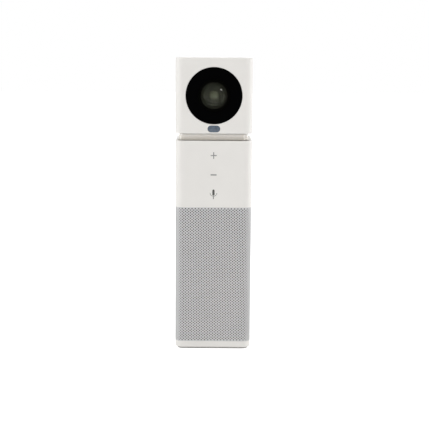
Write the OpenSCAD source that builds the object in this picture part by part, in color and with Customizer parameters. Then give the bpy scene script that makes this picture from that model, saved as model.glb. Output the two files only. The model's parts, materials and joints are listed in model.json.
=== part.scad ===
// Tabletop conference camera: a square speaker tower with a camera head that turns on its neck.
// The part stands on z = 0 and its front faces -Y.

/* [Body] */
// Width and depth of the square body
body_w = 64; // [62:0.5:72]
// Radius of the upright corners
corner_r = 6.5; // [6:0.25:8]
// Chamfer of the outer edges
edge = 0.6; // [0.3:0.1:1]
// Wall of the tower shells
wall = 2.2; // [2:0.1:2.8]

/* [Base] */
// Height of the foot pad that shows
foot_h = 1.5; // [1:0.1:3]
// How far the foot pad stands in from the body
foot_inset = 2; // [1.5:0.25:4]
// Height of the base cap
base_h = 5.3; // [4.3:0.1:8]

/* [Grille] */
// Height of the grille sleeve
grille_h = 115.5; // [110:0.5:140]
// Thickness of the grille metal
grille_t = 0.8; // [0.6:0.1:1]
// Thickness of the acoustic cloth
cloth_t = 0.3; // [0.2:0.05:0.5]

/* [Upper shell] */
// Height of the upper shell
upper_h = 56; // [54:0.5:70]
// Thickness of the deck that carries the head
deck_t = 4; // [3.5:0.25:5]
// How far the middle touch sign lies below the deck, as a share of the upper shell's height
sign_drop_share = 0.509; // [0.45:0.005:0.55]
// Spacing of the touch signs, as a share of the upper shell's height
sign_pitch_share = 0.289; // [0.25:0.005:0.3]
// Width of the plus sign
sign_w = 5.2; // [4:0.2:7]
// Depth of the signs in the wall
sign_t = 0.6; // [0.4:0.1:1]

/* [Head] */
// Height of the camera head
head_h = 62.5; // [60:0.5:72]
// Wall of the head shell
head_wall = 2.4; // [2.2:0.1:3]
// Height of the neck collar
neck_h = 5.6; // [5.4:0.1:8]
// How far the foot of the neck collar stands in from the body
neck_in = 2.3; // [2:0.1:3]
// How far each side of the neck collar leans in towards the head
neck_lean = 1.1; // [0.7:0.1:1.4]
// Gap between the neck collar and the deck
neck_gap = 0.4; // [0.3:0.1:0.8]

/* [Camera] */
// Diameter of the black round cover, as a share of the body's width
cover_d_share = 0.735; // [0.7:0.005:0.745]
// Diameter of the front lens element, as a share of the body's width
lens_d_share = 0.375; // [0.35:0.005:0.38]
// Gap between the front lens element and the hole in the cover
cover_gap = 1.5; // [1.3:0.1:1.8]
// Width of the camera board
camera_board_w = 36; // [35:0.5:38]

/* [Turntable] */
// Outer diameter of the hollow spindle
spindle_d = 18; // [17:0.25:19]
// Bore of the hollow spindle
spindle_bore = 12; // [10:0.5:13]
// How far the head turns to each side, in degrees
pan_range = 165; // [90:5:168]
// Diameter of the stop pin
stop_pin_d = 3; // [2:0.25:3.5]

/* [Speaker] */
// Free room between the grille cloth and the speaker box
box_gap = 3.8; // [3.6:0.1:4.2]
// Free room between the port panel and the speaker box
leg_room = 5; // [4.5:0.5:8]
// Free room above the speaker box, for the microphone board
top_room = 16; // [15:0.5:20]
// Wall of the speaker box left beside the speaker frame
driver_margin = 5; // [4.5:0.25:5.5]
// Diameter of the voice coil
coil_d = 13; // [12:0.25:14]
// Travel of the cone to each side
cone_travel = 0.8; // [0.4:0.1:0.8]

/* [Rear ports] */
// Width of the port panel, as a share of the body's width
panel_w_share = 0.46875; // [0.44:0.00625:0.48]
// Height of the port panel
panel_h = 26.5; // [26:0.5:28]
// Width of the socket shell
usb_w = 9; // [8.9:0.05:9.2]
// Height of the socket shell
usb_h = 3.3; // [3.2:0.05:3.5]
// Diameter of the power button
button_d = 7.6; // [6:0.2:8]
// Travel of the power button
button_travel = 0.6; // [0.3:0.1:0.8]

/* [Hidden] */
$fn = 72;

// Overrun of every cut past the face that it opens
cut = 1;
// Clearance between pieces that fit into each other
fit = 0.1;
// Running clearance of what turns or slides
run = 0.05;
// Thickness of every circuit board
board_t = 1.6;
// Free room kept round boards and bosses
room = 1;
// Ribs that tie the screw bosses to the walls
rib_t = 1.6;

// Screw heads, as shares of the thread's diameter
head_d_share = 1.8;
head_h_share = 0.65;
key_share = 0.8;
key_deep_share = 0.4;
small_d = 2;
small_head_h = small_d * head_h_share;
small_head_d = small_d * head_d_share;

// Foot, base and the long tie screws
foot_edge = 0.3;
pad_seat = 0.8;
base_floor = 3.2;
rim_h = 3;
tie_d = 3;
tie_bite = 11;
col_d = 8;
boss_h = 14;
pad_w = body_w - 2 * foot_inset;
pad_r = corner_r - foot_inset;
rim_w = body_w - 2 * (grille_t + fit);
rim_r = corner_r - grille_t - fit;
inner_w = body_w - 2 * wall;
inner_r = corner_r - wall;
box_w = body_w - 2 * (grille_t + fit + cloth_t + box_gap);
col_c = box_w / 2 - col_d / 2;

// Heights of the levels, from the table up
z_base = foot_h;
z_pad = z_base + pad_seat;
z_floor = z_pad + base_floor;
z_grille = z_base + base_h;
z_rim = z_grille + rim_h;
z_upper = z_grille + grille_h;
z_deck = z_upper + upper_h;
z_neck = z_deck + neck_gap;
z_head = z_neck + neck_h;
z_top = z_head + head_h;
z_lens = z_head + head_h / 2;
z_tie = z_pad + tie_d * head_h_share + fit;
z_box = z_grille + panel_h + leg_room;
z_box_top = z_upper - top_room;
front = -body_w / 2;
back = body_w / 2;

// Grille cloth
cloth_w = rim_w;
cloth_r = rim_r;

// Touch signs
stroke = 0.85;
plus_tall_share = 1.1;
minus_stroke = 1.1;
mic_w_share = 0.37;
mic_cup_share = 1.17;
mic_stem_share = 0.42;
mic_drop_share = 0.15;
mic_lift = 1.3;
cup_stroke = 0.5;
touch_w = 26;
touch_t = 1;
touch_margin = 5;
lead_t = 0.4;
lead_w = 9;
z_sign = z_deck - upper_h * sign_drop_share;
z_plus = z_sign + upper_h * sign_pitch_share;
z_mic_sign = z_sign - upper_h * sign_pitch_share + mic_lift;
z_touch = z_upper + touch_margin;
touch_h = upper_h - deck_t - 2 * touch_margin;

// Main board and its heat sink
post_d = 5;
main_post = 6.2;
main_margin = 4;
sink_t = 2;
fin_t = 1.2;
fin_gap = 2.8;
fin_h = 6;
chip_t = 1.4;
chip_w = 14;
main_sink_w = 26;
main_sink_h = 22;
socket_w = 10;
socket_h = 6;
socket_l = 5;
cable_d = 4;
cable_bend = 8;
cable_rise = 8.5;
main_w = 2 * (col_c - col_d / 2 - room);
main_z = z_upper + main_margin;
main_h = upper_h - deck_t - 2 * main_margin;
main_back = back - wall - main_post;
main_front = main_back - board_t;
main_post_x = main_w / 2 - post_d / 2 - room;
main_low = main_z + post_d / 2 + room;
main_high = main_z + main_h - post_d / 2 - room;
z_cable = z_upper + cable_rise;
z_main_sink = (main_low + main_high) / 2;
screw_l = 5;

// Microphone board
mic_peg = 6;
mic_d = 6;
mic_t = 2.2;
mic_w = 2 * (col_c - col_d / 2 - room);
z_mic = z_box_top + mic_peg;
mic_peg_c = mic_w / 2 - post_d / 2 - room;

// Speaker box and its cover
box_wall = 2;
box_lip = 4;
cover_plate_t = 1.6;
box_h = z_box_top - z_box;
opening_w = 2 * (col_c - col_d / 2 - room);
opening_h = box_h - 2 * (box_wall + box_lip);
cover_plate_w = opening_w + 2 * box_lip;
cover_plate_h = opening_h + 2 * box_lip;
box_back = box_w / 2;
z_driver = z_box + box_h / 2;
speaker_screw_l = 5.4;

// Speaker driver, measured back from the front of its flange
flange_t = 1.2;
basket_wall = 1;
basket_in = 3.5;
basket_deep = 12;
top_plate_t = 2;
magnet_t = 5;
magnet_d = 28;
yoke_t = 2.5;
plate_d = 25;
coil_gap = 0.6;
coil_t = 0.5;
pole_gap = 0.4;
coil_l = 10;
roll_slack = 0.7;
roll_t = 0.3;
lip_w = 1.2;
cone_t = 0.5;
cone_dip_share = 0.8;
spider_t = 0.4;
spider_wave = 0.8;
cap_t = 0.4;
seam_w = 0.25;
window_share = 0.5;
driver_d = box_w - 2 * driver_margin;
driver_front = (body_w - box_w) / 2 - flange_t;
roll_r = cone_travel + roll_slack;
cone_deep = cone_dip_share * basket_deep / 2;
basket_d = driver_d - 2 * basket_in;
driver_hole_d = basket_d + 2 * fit;
coil_r = coil_d / 2;
gap_r = coil_r + coil_gap;
magnet_z = basket_deep + top_plate_t;
pole_r = coil_r - coil_t - pole_gap;
driver_screw_r = (driver_d - small_head_d) / 2 - fit;
surround_r = driver_screw_r - small_head_d / 2 - fit;
roll_c = surround_r - lip_w - roll_r;
cone_r = roll_c - roll_r - seam_w;

// Rear ports
panel_t = 2;
panel_flange = 2;
panel_flange_t = 0.8;
panel_r = 3;
arm_h = 8;
arm_up = 9;
arm_t = 2.3;
leg_pad = 0.6;
port_post = 7.3;
port_post_d = 4.5;
usb_up = 8;
usb_l = 7.6;
usb_wall = 0.35;
tongue_w = 6.6;
tongue_t = 0.7;
button_up = 18.5;
button_sink = 0.3;
button_gap = 0.15;
button_lip = 1.2;
button_lip_t = 0.8;
stem_d = 3;
stem_in = 0.5;
switch_w = 6;
switch_t = 3.5;
stem_room = 0.8;
switch_deep = stem_in + button_travel + stem_room;
panel_face = back - grille_t - fit - cloth_t - fit;
panel_back = panel_face - panel_flange_t;
port_front = panel_back - port_post - board_t;
port_back = panel_back - port_post;
panel_w = body_w * panel_w_share;
port_w = panel_w - 2 * room;
port_z = z_grille + panel_flange;
port_h = panel_h - panel_flange / 2;
port_post_x = port_w / 2 - port_post_d / 2;
port_low = port_z + port_post_d / 2 + room;
port_high = port_z + port_h - port_post_d / 2 - room;
z_usb = z_grille + usb_up;
z_button = z_grille + button_up;
z_arm = z_grille + arm_up;
arm_x = col_c - (tie_d + small_d) / 2 - 2 * fit;
z_lead_low = port_z + port_h - room;
z_lead_high = main_z + main_margin / 2;
lead_y = box_back + cover_plate_t + lead_t;

// Turntable
bush_t = 2;
bush_flange = 2;
flange_seat = 1.2;
bush_tail = 3.5;
washer_t = 0.8;
clip_t = 1;
clip_reach = 2.5;
clip_slot = 8;
groove_deep = 0.7;
tail = 2;
spindle_flange_d = 34;
spindle_flange_t = 2;
pin_drop = 2.2;
pin_room = 0.5;
collar_floor = 1.8;
collar_wall = 2.4;
collar_r = 5.5;
pin_deg = 6;
bush_flange_r = spindle_d / 2 + bush_t + bush_flange;
pin_c = bush_flange_r + pin_room + stop_pin_d + pin_room;
z_bush = z_deck - deck_t - bush_tail;
z_clip = z_bush - washer_t - fit - clip_t;
z_spindle = z_clip - tail;
groove_d = spindle_d - 2 * groove_deep;
neck_w = body_w - 2 * neck_in;
neck_top_w = neck_w - 2 * neck_lean;

// Head
plate_t = 1.6;
head_boss_d = 6;
head_boss_h = 10;
head_boss_in = 7.5;
head_screw_d = 2.5;
plate_screw_l = 3.4;
spindle_screw_c = 13.5;
head_inner_w = body_w - 2 * head_wall;
head_inner_r = corner_r - head_wall;
plate_w = head_inner_w - 2 * fit;
plate_r = head_inner_r - fit;
head_boss_c = body_w / 2 - head_boss_in;
z_plate = z_head + plate_t;
z_head_screw = z_neck + head_screw_d * head_h_share + fit;

// Camera, measured back from the front face
cover_sink = 0.2;
cover_t = 1.6;
cover_lip = 2.5;
bezel_sink = 0.3;
bezel_t = 1.2;
bezel_lip = 2;
bezel_edge = 0.6;
lens_lip = 1;
ring_t = 1;
lens_edge_t = 2.4;
dome_h = 2.9;
barrel_wall = 1.6;
barrel_front_share = 0.5;
barrel_tail_d = 16;
middle_d = 13;
rear_d = 9.5;
small_lens_t = 2.4;
barrel_stop = 0.8;
mount_d = 20;
mount_margin = 3;
mount_flange_t = 2;
mount_overlap = 6;
filter_d = 11;
filter_t = 0.6;
filter_seat = 1.2;
sensor_w = 10;
sensor_h = 8;
sensor_t = 1.4;
sensor_room = 14;
bracket_t = 1.6;
bracket_post = 3.4;
bracket_w = 38;
bracket_foot = 11;
bracket_screw_x = 14;
camera_screw_l = 4.6;
camera_sink_w = 28;
camera_sink_h = 22;
camera_sink_up = 5;
plug_w = 9;
plug_d = 4.4;
plug_h = 7;
camera_socket_w = 12;
camera_socket_h = 7;
camera_socket_down = 15.5;
plug_room = 4.3;
camera_post_in = 3;
cover_d = body_w * cover_d_share;
lens_d = body_w * lens_d_share;
cover_hole_d = lens_d + 2 * cover_gap;
cover_seat = cover_sink + cover_t;
bezel_back = cover_seat + bezel_t;
ring_front = bezel_back + fit;
lens_rim = ring_front + ring_t;
glass_r = lens_d / 2 - lens_lip;
dome_r = (glass_r * glass_r + dome_h * dome_h) / (2 * dome_h);
barrel_d = lens_d + 2 * (fit + barrel_wall);
board_rear = -front - plug_room;
board_deep = board_rear - board_t;
cavity_front = board_deep - filter_seat - sensor_t;
filter_back = cavity_front - filter_seat;
filter_front = filter_back - filter_t;
barrel_end = filter_front - fit;
barrel_step = ring_front + (barrel_end - ring_front) * barrel_front_share;
middle_front = lens_rim + lens_edge_t + barrel_stop;
rear_front = middle_front + small_lens_t + barrel_stop;
mount_front = barrel_end - mount_overlap;
bracket_front = board_deep - bracket_post - bracket_t;
bracket_back = bracket_front + bracket_t;
camera_post_c = camera_board_w / 2 - camera_post_in;
mount_flange_w = 2 * (camera_post_c - mount_margin);
socket_deep = -front + plug_d / 2 + fit;
z_socket = z_lens - camera_socket_down;
z_plug = z_socket - plug_h;

// Status window and its light
window_w = 10.6;
window_margin = 1;
status_w = 14;
status_h = 7;
status_t = 1;
led_w = 3;
led_h = 1.6;
led_t = 1;
led_up = 1.4;
status_gap = 0.2;
window_room = z_lens - cover_d / 2 - z_head;
window_h = window_room - 2 * window_margin;
z_window = z_head + window_room / 2;

// A square plan with rounded corners
module plan(w, r) {
  square([w - 2 * r, w], center = true);
  square([w, w - 2 * r], center = true);
  for (x = [-1, 1], y = [-1, 1]) translate([x * (w / 2 - r), y * (w / 2 - r)]) circle(r);
}

// The same plan between two heights
module slab(w, r, z0, z1) translate([0, 0, z0]) linear_extrude(z1 - z0) plan(w, r);

// A block on that plan whose sides follow a profile, each point as [inset, height]
module block(w, r, prof) {
  inner = w / 2 - r;
  n = len(prof);
  z0 = prof[0][1];
  z1 = prof[n - 1][1];
  right = [for (p = prof) [w / 2 - p[0], p[1]]];
  left = [for (i = [n - 1:-1:0]) [prof[i][0] - w / 2, prof[i][1]]];
  for (a = [0, 90]) rotate([90, 0, a])
    linear_extrude(2 * inner, center = true) polygon(concat(right, left));
  for (x = [-1, 1], y = [-1, 1]) translate([x * inner, y * inner])
    rotate_extrude() polygon(concat([for (p = prof) [r - p[0], p[1]]], [[0, z1], [0, z0]]));
}

// A rod and a ring along Z between two heights
module rod(d, z0, z1) translate([0, 0, z0]) cylinder(d = d, h = z1 - z0);
module ring(od, id, z0, z1) difference() {
  rod(od, z0, z1);
  rod(id, z0 - cut, z1 + cut);
}

// A plate between two corners
module span(a, b) translate(a) cube(b - a);

// Turns Z inwards from the front face, at a height
module inward(z) translate([0, front, z]) rotate([-90, 0, 0]) children();

// Lays a drawing on the XZ plane, with its thickness running back from y to y + t
module upright(y, t) translate([0, y + t, 0]) rotate([90, 0, 0]) linear_extrude(t) children();

// One copy in each corner of the plan
module corners(c) for (x = [-1, 1], y = [-1, 1]) translate([x * c, y * c, 0]) children();

// A screw boss at c, c and its copies, tied to both walls by ribs
module corner_bosses(c, d, reach, z0, z1) for (a = [0:90:270]) rotate(a) {
  translate([c, c, 0]) rod(d, z0, z1);
  span([c, c - rib_t / 2, z0], [reach, c + rib_t / 2, z1]);
  span([c - rib_t / 2, c, z0], [c + rib_t / 2, reach, z1]);
}

// A screw whose thread points up from the origin, with a hex socket in its head
module screw(d, l) {
  head_h = d * head_h_share;
  head_r = d * head_d_share / 2;
  difference() {
    rotate_extrude() polygon([
      [0, -head_h], [head_r, -head_h], [head_r, 0], [d / 2, 0], [d / 2, l], [0, l]]);
    translate([0, 0, -head_h - cut]) cylinder(d = d * key_share, h = d * key_deep_share + cut, $fn = 6);
  }
}

// Screws pointing back or down
module screw_back(d, l) rotate([-90, 0, 0]) screw(d, l);
module screw_down(d, l) rotate([180, 0, 0]) screw(d, l);

// A stadium, drawn flat
module stadium(w, h) {
  square([w - h, h], center = true);
  for (x = [-1, 1]) translate([x * (w - h) / 2, 0]) circle(h / 2);
}

// A heat sink whose fins run upright, its base at z = 0 and its fins along Z
module heat_sink(w, h, fins) {
  n = floor((w - fin_t) / (fin_t + fin_gap));
  pitch = (w - fin_t) / n;
  span([-w / 2, -h / 2, 0], [w / 2, h / 2, sink_t]);
  for (i = [0:n])
    span([i * pitch - w / 2, -h / 2, 0], [i * pitch - w / 2 + fin_t, h / 2, sink_t + fins]);
}

module foot_pad() color("dimgray")
  block(pad_w, pad_r, [[foot_edge, 0], [0, foot_edge], [0, z_pad]]);

module base_cap() color("whitesmoke") difference() {
  union() {
    block(body_w, corner_r, [[edge, z_base], [0, z_base + edge], [0, z_grille]]);
    slab(rim_w, rim_r, z_grille, z_rim);
  }
  slab(pad_w + 2 * fit, pad_r + fit, z_base - cut, z_pad);
  slab(inner_w, inner_r, z_floor, z_rim + cut);
  span([-panel_w / 2 - fit, 0, z_grille], [panel_w / 2 + fit, back + cut, z_rim + cut]);
  corners(col_c) {
    rod(tie_d + 2 * fit, z_base, z_rim);
    rod(tie_d * head_d_share + 2 * fit, z_base, z_tie);
  }
}

module tie_screws() color("silver")
  corners(col_c) translate([0, 0, z_tie]) screw(tie_d, z_upper + tie_bite - z_tie);

module port_notch(grow, z_top_edge) {
  r = panel_r + grow;
  x = panel_w / 2 + grow;
  translate([0, back + cut, 0]) rotate([90, 0, 0]) linear_extrude(back / 2) {
    translate([-x, 0]) square([2 * x, z_top_edge - r]);
    translate([-x + r, 0]) square([2 * (x - r), z_top_edge]);
    for (s = [-1, 1]) translate([s * (x - r), z_top_edge - r]) circle(r);
  }
}

module grille() color("silver") difference() {
  slab(body_w, corner_r, z_grille, z_upper);
  slab(body_w - 2 * grille_t, corner_r - grille_t, z_grille - cut, z_upper + cut);
  port_notch(fit, z_grille + panel_h + fit);
}

module grille_cloth() color("black") difference() {
  slab(cloth_w, cloth_r, z_rim + fit, z_upper - rim_h - fit);
  slab(cloth_w - 2 * cloth_t, cloth_r - cloth_t, z_rim, z_upper);
  port_notch(panel_flange + fit, z_grille + panel_h + panel_flange + fit);
}

module upper_shell() color("whitesmoke") difference() {
  union() {
    difference() {
      union() {
        block(body_w, corner_r, [[0, z_upper], [0, z_deck - edge], [edge, z_deck]]);
        slab(rim_w, rim_r, z_upper - rim_h, z_upper + edge);
      }
      slab(inner_w, inner_r, z_upper - rim_h - cut, z_deck - deck_t);
    }
    corner_bosses(col_c, col_d, body_w / 2 - wall / 2, z_upper, z_upper + boss_h);
    for (x = [-1, 1], z = [main_low, main_high]) translate([x * main_post_x, main_back, z])
      rotate([-90, 0, 0]) cylinder(d = post_d, h = main_post + wall / 2);
  }
  corners(col_c) rod(tie_d + 2 * fit, z_upper - cut, z_upper + tie_bite + fit);
  for (x = [-1, 1], z = [main_low, main_high]) translate([x * main_post_x, main_back - cut, z])
    rotate([-90, 0, 0]) cylinder(d = small_d + 2 * fit, h = screw_l - board_t + cut + fit);
  rod(spindle_d + 2 * bush_t, z_deck - deck_t - cut, z_deck + cut);
  rod(2 * bush_flange_r, z_deck - flange_seat, z_deck + cut);
  pan_groove();
  front_sign(z_plus) plus_sign();
  front_sign(z_sign) minus_sign();
  front_sign(z_mic_sign) mic_sign();
}

// Blind groove in the deck that the stop pin runs in, open all round but for a web at the back
module pan_groove() {
  w = stop_pin_d + 2 * pin_room;
  sweep = 2 * (pan_range + pin_deg);
  rotate(-90 - sweep / 2) rotate_extrude(angle = sweep)
    translate([pin_c - w / 2, z_deck - pin_drop - pin_room]) square([w, pin_drop + pin_room + cut]);
}

module front_sign(z) translate([0, 0, z]) upright(front, sign_t) children();
module plus_sign() {
  square([sign_w, stroke], center = true);
  square([stroke, sign_w * plus_tall_share], center = true);
}
module minus_sign() square([sign_w, minus_stroke], center = true);
module mic_sign() {
  w = sign_w * mic_w_share;
  cup = sign_w * mic_cup_share / 2;
  drop = w * mic_drop_share;
  stem = sign_w * mic_stem_share;
  rotate(90) stadium(sign_w, w);
  difference() {
    translate([0, -drop]) circle(cup);
    translate([0, -drop]) circle(cup - cup_stroke);
    translate([-cup - stroke, -drop]) square([2 * (cup + stroke), 2 * cup]);
  }
  translate([-stroke / 2, -drop - cup - stem]) square([stroke, stem + stroke / 2]);
}

module volume_up_sign() color("gray") front_sign(z_plus) plus_sign();
module volume_down_sign() color("gray") front_sign(z_sign) minus_sign();
module microphone_sign() color("gray") front_sign(z_mic_sign) mic_sign();

module touch_board() color("darkgreen")
  span([-touch_w / 2, front + wall, z_touch], [touch_w / 2, front + wall + touch_t, z_touch + touch_h]);

module main_board() color("darkgreen") {
  difference() {
    span([-main_w / 2, main_front, main_z], [main_w / 2, main_back, main_z + main_h]);
    for (x = [-1, 1], z = [main_low, main_high]) translate([x * main_post_x, main_front - cut, z])
      rotate([-90, 0, 0]) cylinder(d = small_d + 2 * fit, h = board_t + 2 * cut);
  }
  span([-chip_w / 2, main_front - chip_t, z_main_sink - chip_w / 2],
    [chip_w / 2, main_front, z_main_sink + chip_w / 2]);
  span([-socket_w / 2, main_front - socket_l, z_cable - socket_h / 2],
    [socket_w / 2, main_front, z_cable + socket_h / 2]);
}

module main_heat_sink() color("darkslategray") translate([0, main_front - chip_t, z_main_sink])
  rotate([90, 0, 0]) heat_sink(main_sink_w, main_sink_h, fin_h);

module board_screws() color("silver") {
  for (x = [-1, 1], z = [main_low, main_high]) translate([x * main_post_x, main_front, z])
    screw_back(small_d, screw_l);
  for (x = [-1, 1], z = [port_low, port_high]) translate([x * port_post_x, port_front, z])
    screw_back(small_d, screw_l);
  corners(mic_peg_c) translate([0, 0, z_mic + board_t]) screw_down(small_d, screw_l);
}

// Cable from the main board to the axis of the neck, and up it into the head
module camera_cable() color("dimgray") {
  start = main_front - socket_l;
  translate([0, cable_bend, z_cable]) rotate([-90, 0, 0]) cylinder(d = cable_d, h = start - cable_bend);
  translate([0, cable_bend, z_cable + cable_bend]) rotate([0, -90, 0]) rotate(180)
    rotate_extrude(angle = 90) translate([cable_bend, 0]) circle(cable_d / 2);
  rod(cable_d, z_cable + cable_bend, z_plug - run);
}

module microphone_board() color("darkgreen") difference() {
  span([-mic_w / 2, -mic_w / 2, z_mic], [mic_w / 2, mic_w / 2, z_mic + board_t]);
  corners(mic_peg_c) rod(small_d + 2 * fit, z_mic - cut, z_mic + board_t + cut);
}

module microphones() color("silver") for (a = [0:90:270]) rotate(a)
  translate([mic_w / 2 - mic_d / 2, 0, z_mic + board_t]) cylinder(d = mic_d, h = mic_t);

module speaker_box() color("darkslategray") difference() {
  union() {
    slab(box_w, col_d / 2, z_box, z_box_top);
    corners(col_c) rod(col_d, z_floor, z_upper);
    corners(mic_peg_c) rod(post_d, z_box_top - box_wall, z_mic);
    for (x = [-1, 1]) translate([x * arm_x, 0, 0])
      span([-col_d / 4, col_c, z_arm], [col_d / 4, box_back + leg_pad, z_arm + arm_h]);
  }
  difference() {
    slab(box_w - 2 * box_wall, col_d / 2 - box_wall, z_box + box_wall, z_box_top - box_wall);
    corners(col_c) rod(col_d, z_box, z_box_top);
    corners(mic_peg_c) rod(post_d, z_box_top - mic_peg, z_box_top);
  }
  corners(col_c) rod(tie_d + 2 * fit, z_floor - cut, z_upper + cut);
  corners(mic_peg_c) rod(small_d + 2 * fit, z_mic - screw_l + board_t - fit, z_mic + cut);
  inward(z_driver) rod(driver_hole_d, 0, driver_front + flange_t + box_wall + cut);
  span([-opening_w / 2, 0, z_driver - opening_h / 2],
    [opening_w / 2, box_back + cut, z_driver + opening_h / 2]);
  speaker_screw_holes();
}

// Places of the identical screws of the speaker frame, the box cover and the port panel
module driver_places() inward(z_driver) for (a = [45:90:315]) rotate(a)
  translate([driver_screw_r, 0, driver_front]) children();
module cover_places() for (x = [-1, 1], z = [-1, 1])
  translate([x * (opening_w + box_lip) / 2, box_back + cover_plate_t,
    z_driver + z * (opening_h + box_lip) / 2]) rotate([90, 0, 0]) children();
module panel_places() for (x = [-1, 1])
  translate([x * arm_x, box_back + leg_pad + arm_t - small_head_h, z_arm + arm_h / 2])
    rotate([90, 0, 0]) children();
module speaker_screw_holes() {
  driver_places() cylinder(d = small_d + 2 * fit, h = speaker_screw_l + fit);
  cover_places() cylinder(d = small_d + 2 * fit, h = speaker_screw_l + fit);
  panel_places() cylinder(d = small_d + 2 * fit, h = speaker_screw_l + fit);
}

module speaker_screws() color("silver") {
  driver_places() screw(small_d, speaker_screw_l);
  cover_places() screw(small_d, speaker_screw_l);
  panel_places() screw(small_d, speaker_screw_l);
}

module speaker_box_cover() color("darkslategray") difference() {
  translate([0, box_back, z_driver]) span([-cover_plate_w / 2, 0, -cover_plate_h / 2],
    [cover_plate_w / 2, cover_plate_t, cover_plate_h / 2]);
  cover_places() rod(small_d + 2 * fit, -cut, cover_plate_t + cut);
}

// Everything of the driver turns about its own axis
module driver() inward(z_driver) translate([0, 0, driver_front]) children();
module driver_turned() driver() rotate_extrude() children();

module speaker_frame() color("dimgray") driver() difference() {
  rotate_extrude() polygon([
    [basket_d / 2 - basket_wall, 0], [driver_d / 2, 0],
    [driver_d / 2, flange_t], [basket_d / 2, flange_t],
    [plate_d / 2, basket_deep], [plate_d / 2, magnet_z],
    [gap_r, magnet_z], [gap_r, basket_deep],
    [plate_d / 2 - basket_wall, basket_deep], [basket_d / 2 - basket_wall, flange_t]]);
  for (a = [0:90:270]) rotate(a)
    translate([basket_d / 4, -basket_d * window_share / 4, flange_t + basket_wall])
      cube([basket_d / 2, basket_d * window_share / 2, basket_deep - flange_t - 2 * basket_wall]);
  for (a = [45:90:315]) rotate(a) translate([driver_screw_r, 0, 0])
    rod(small_d + 2 * fit, -cut, flange_t + cut);
}

module speaker_magnet() color("black") driver()
  ring(magnet_d, 2 * (gap_r + basket_wall), magnet_z, magnet_z + magnet_t);

module speaker_yoke() color("silver") driver() {
  z = magnet_z + magnet_t;
  rod(plate_d, z, z + yoke_t);
  rod(2 * pole_r, basket_deep, z + yoke_t);
}

module speaker_spider() color("goldenrod") driver_turned() {
  a = coil_r + seam_w;
  b = plate_d / 2 - basket_wall;
  n = 6;
  s = (b - a) / n;
  z = basket_deep - spider_wave - spider_t;
  polygon(concat(
    [for (i = [0:n]) [a + i * s, z + (i % 2) * spider_wave]],
    [for (i = [n:-1:0]) [a + i * s, z + spider_t + (i % 2) * spider_wave]]));
  translate([b - basket_wall / 2, z]) square([basket_wall / 2, spider_t + spider_wave]);
}

module speaker_surround() color("black") driver_turned() {
  difference() {
    translate([roll_c, 0]) circle(roll_r);
    translate([roll_c, 0]) circle(roll_r - roll_t);
    square([driver_d, 2 * roll_r]);
  }
  translate([roll_c + roll_r - roll_t, -roll_t])
    square([surround_r - roll_c - roll_r + roll_t, roll_t]);
}

module speaker_cone() color("darkgray") driver_turned() polygon([
  [cone_r, 0], [cone_r, cone_t], [coil_r + coil_t + cone_t, cone_deep + cone_t],
  [coil_r + seam_w / 2, cone_deep + cone_t], [coil_r + seam_w / 2, cone_deep]]);

module voice_coil() color("peru") driver()
  ring(coil_d, coil_d - 2 * coil_t, cone_deep + cone_t, cone_deep + coil_l);

module dust_cap() color("black") driver() {
  z = cone_deep + cone_t - cap_t;
  rod(coil_d, z, z + cap_t);
}

module port_panel() color("whitesmoke") difference() {
  union() {
    intersection() {
      port_notch(0, z_grille + panel_h);
      span([-body_w, panel_back, z_grille], [body_w, back, z_upper]);
    }
    intersection() {
      port_notch(panel_flange, z_grille + panel_h + panel_flange);
      span([-body_w, panel_back, z_rim + fit], [body_w, panel_face, z_upper]);
    }
    for (x = [-1, 1], z = [port_low, port_high]) translate([x * port_post_x, port_back, z])
      rotate([-90, 0, 0]) cylinder(d = port_post_d, h = port_post + panel_flange_t / 2);
    for (x = [0, 1]) mirror([x, 0, 0]) span([panel_w / 2, box_back + leg_pad, z_arm],
      [arm_x + col_d / 4, box_back + leg_pad + arm_t + room / 2, z_arm + arm_h]);
  }
  for (x = [-1, 1], z = [port_low, port_high]) translate([x * port_post_x, port_back - cut, z])
    rotate([-90, 0, 0]) cylinder(d = small_d + 2 * fit, h = screw_l - board_t + cut + fit);
  panel_places() translate([0, 0, -arm_t]) {
    cylinder(d = small_d + 2 * fit, h = 2 * arm_t + small_head_h);
    cylinder(d = small_head_d + 2 * fit, h = arm_t);
  }
  translate([0, 0, z_usb]) upright(panel_back - cut, panel_t + body_w)
    stadium(usb_w + 4 * fit, usb_h + 4 * fit);
  translate([0, 0, z_button]) upright(panel_back - cut, panel_t + body_w)
    circle(button_d / 2 + button_gap);
}

module port_board() color("darkgreen") difference() {
  span([-port_w / 2, port_front, port_z], [port_w / 2, port_back, port_z + port_h]);
  for (x = [-1, 1], z = [port_low, port_high]) translate([x * port_post_x, port_front - cut, z])
    rotate([-90, 0, 0]) cylinder(d = small_d + 2 * fit, h = board_t + 2 * cut);
}

module usb_socket() color("silver") translate([0, 0, z_usb]) {
  difference() {
    upright(port_back, usb_l) stadium(usb_w, usb_h);
    upright(port_back + usb_wall, usb_l) stadium(usb_w - 2 * usb_wall, usb_h - 2 * usb_wall);
  }
  upright(port_back, usb_l - room) square([tongue_w, tongue_t], center = true);
}

module power_switch() color("black") difference() {
  span([-switch_w / 2, port_back, z_button - switch_w / 2],
    [switch_w / 2, port_back + switch_t, z_button + switch_w / 2]);
  translate([0, 0, z_button]) upright(port_back + switch_t - switch_deep, switch_deep + cut)
    circle(stem_d / 2 + 2 * fit);
}

module power_button() color("gainsboro") translate([0, 0, z_button]) {
  lip_back = panel_back - fit;
  stem_tip = port_back + switch_t - stem_in;
  upright(lip_back - button_lip_t, back - button_sink - lip_back + button_lip_t) circle(button_d / 2);
  upright(lip_back - button_lip_t, button_lip_t) circle(button_d / 2 + button_lip);
  upright(stem_tip, lip_back - stem_tip) circle(stem_d / 2);
}

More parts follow.
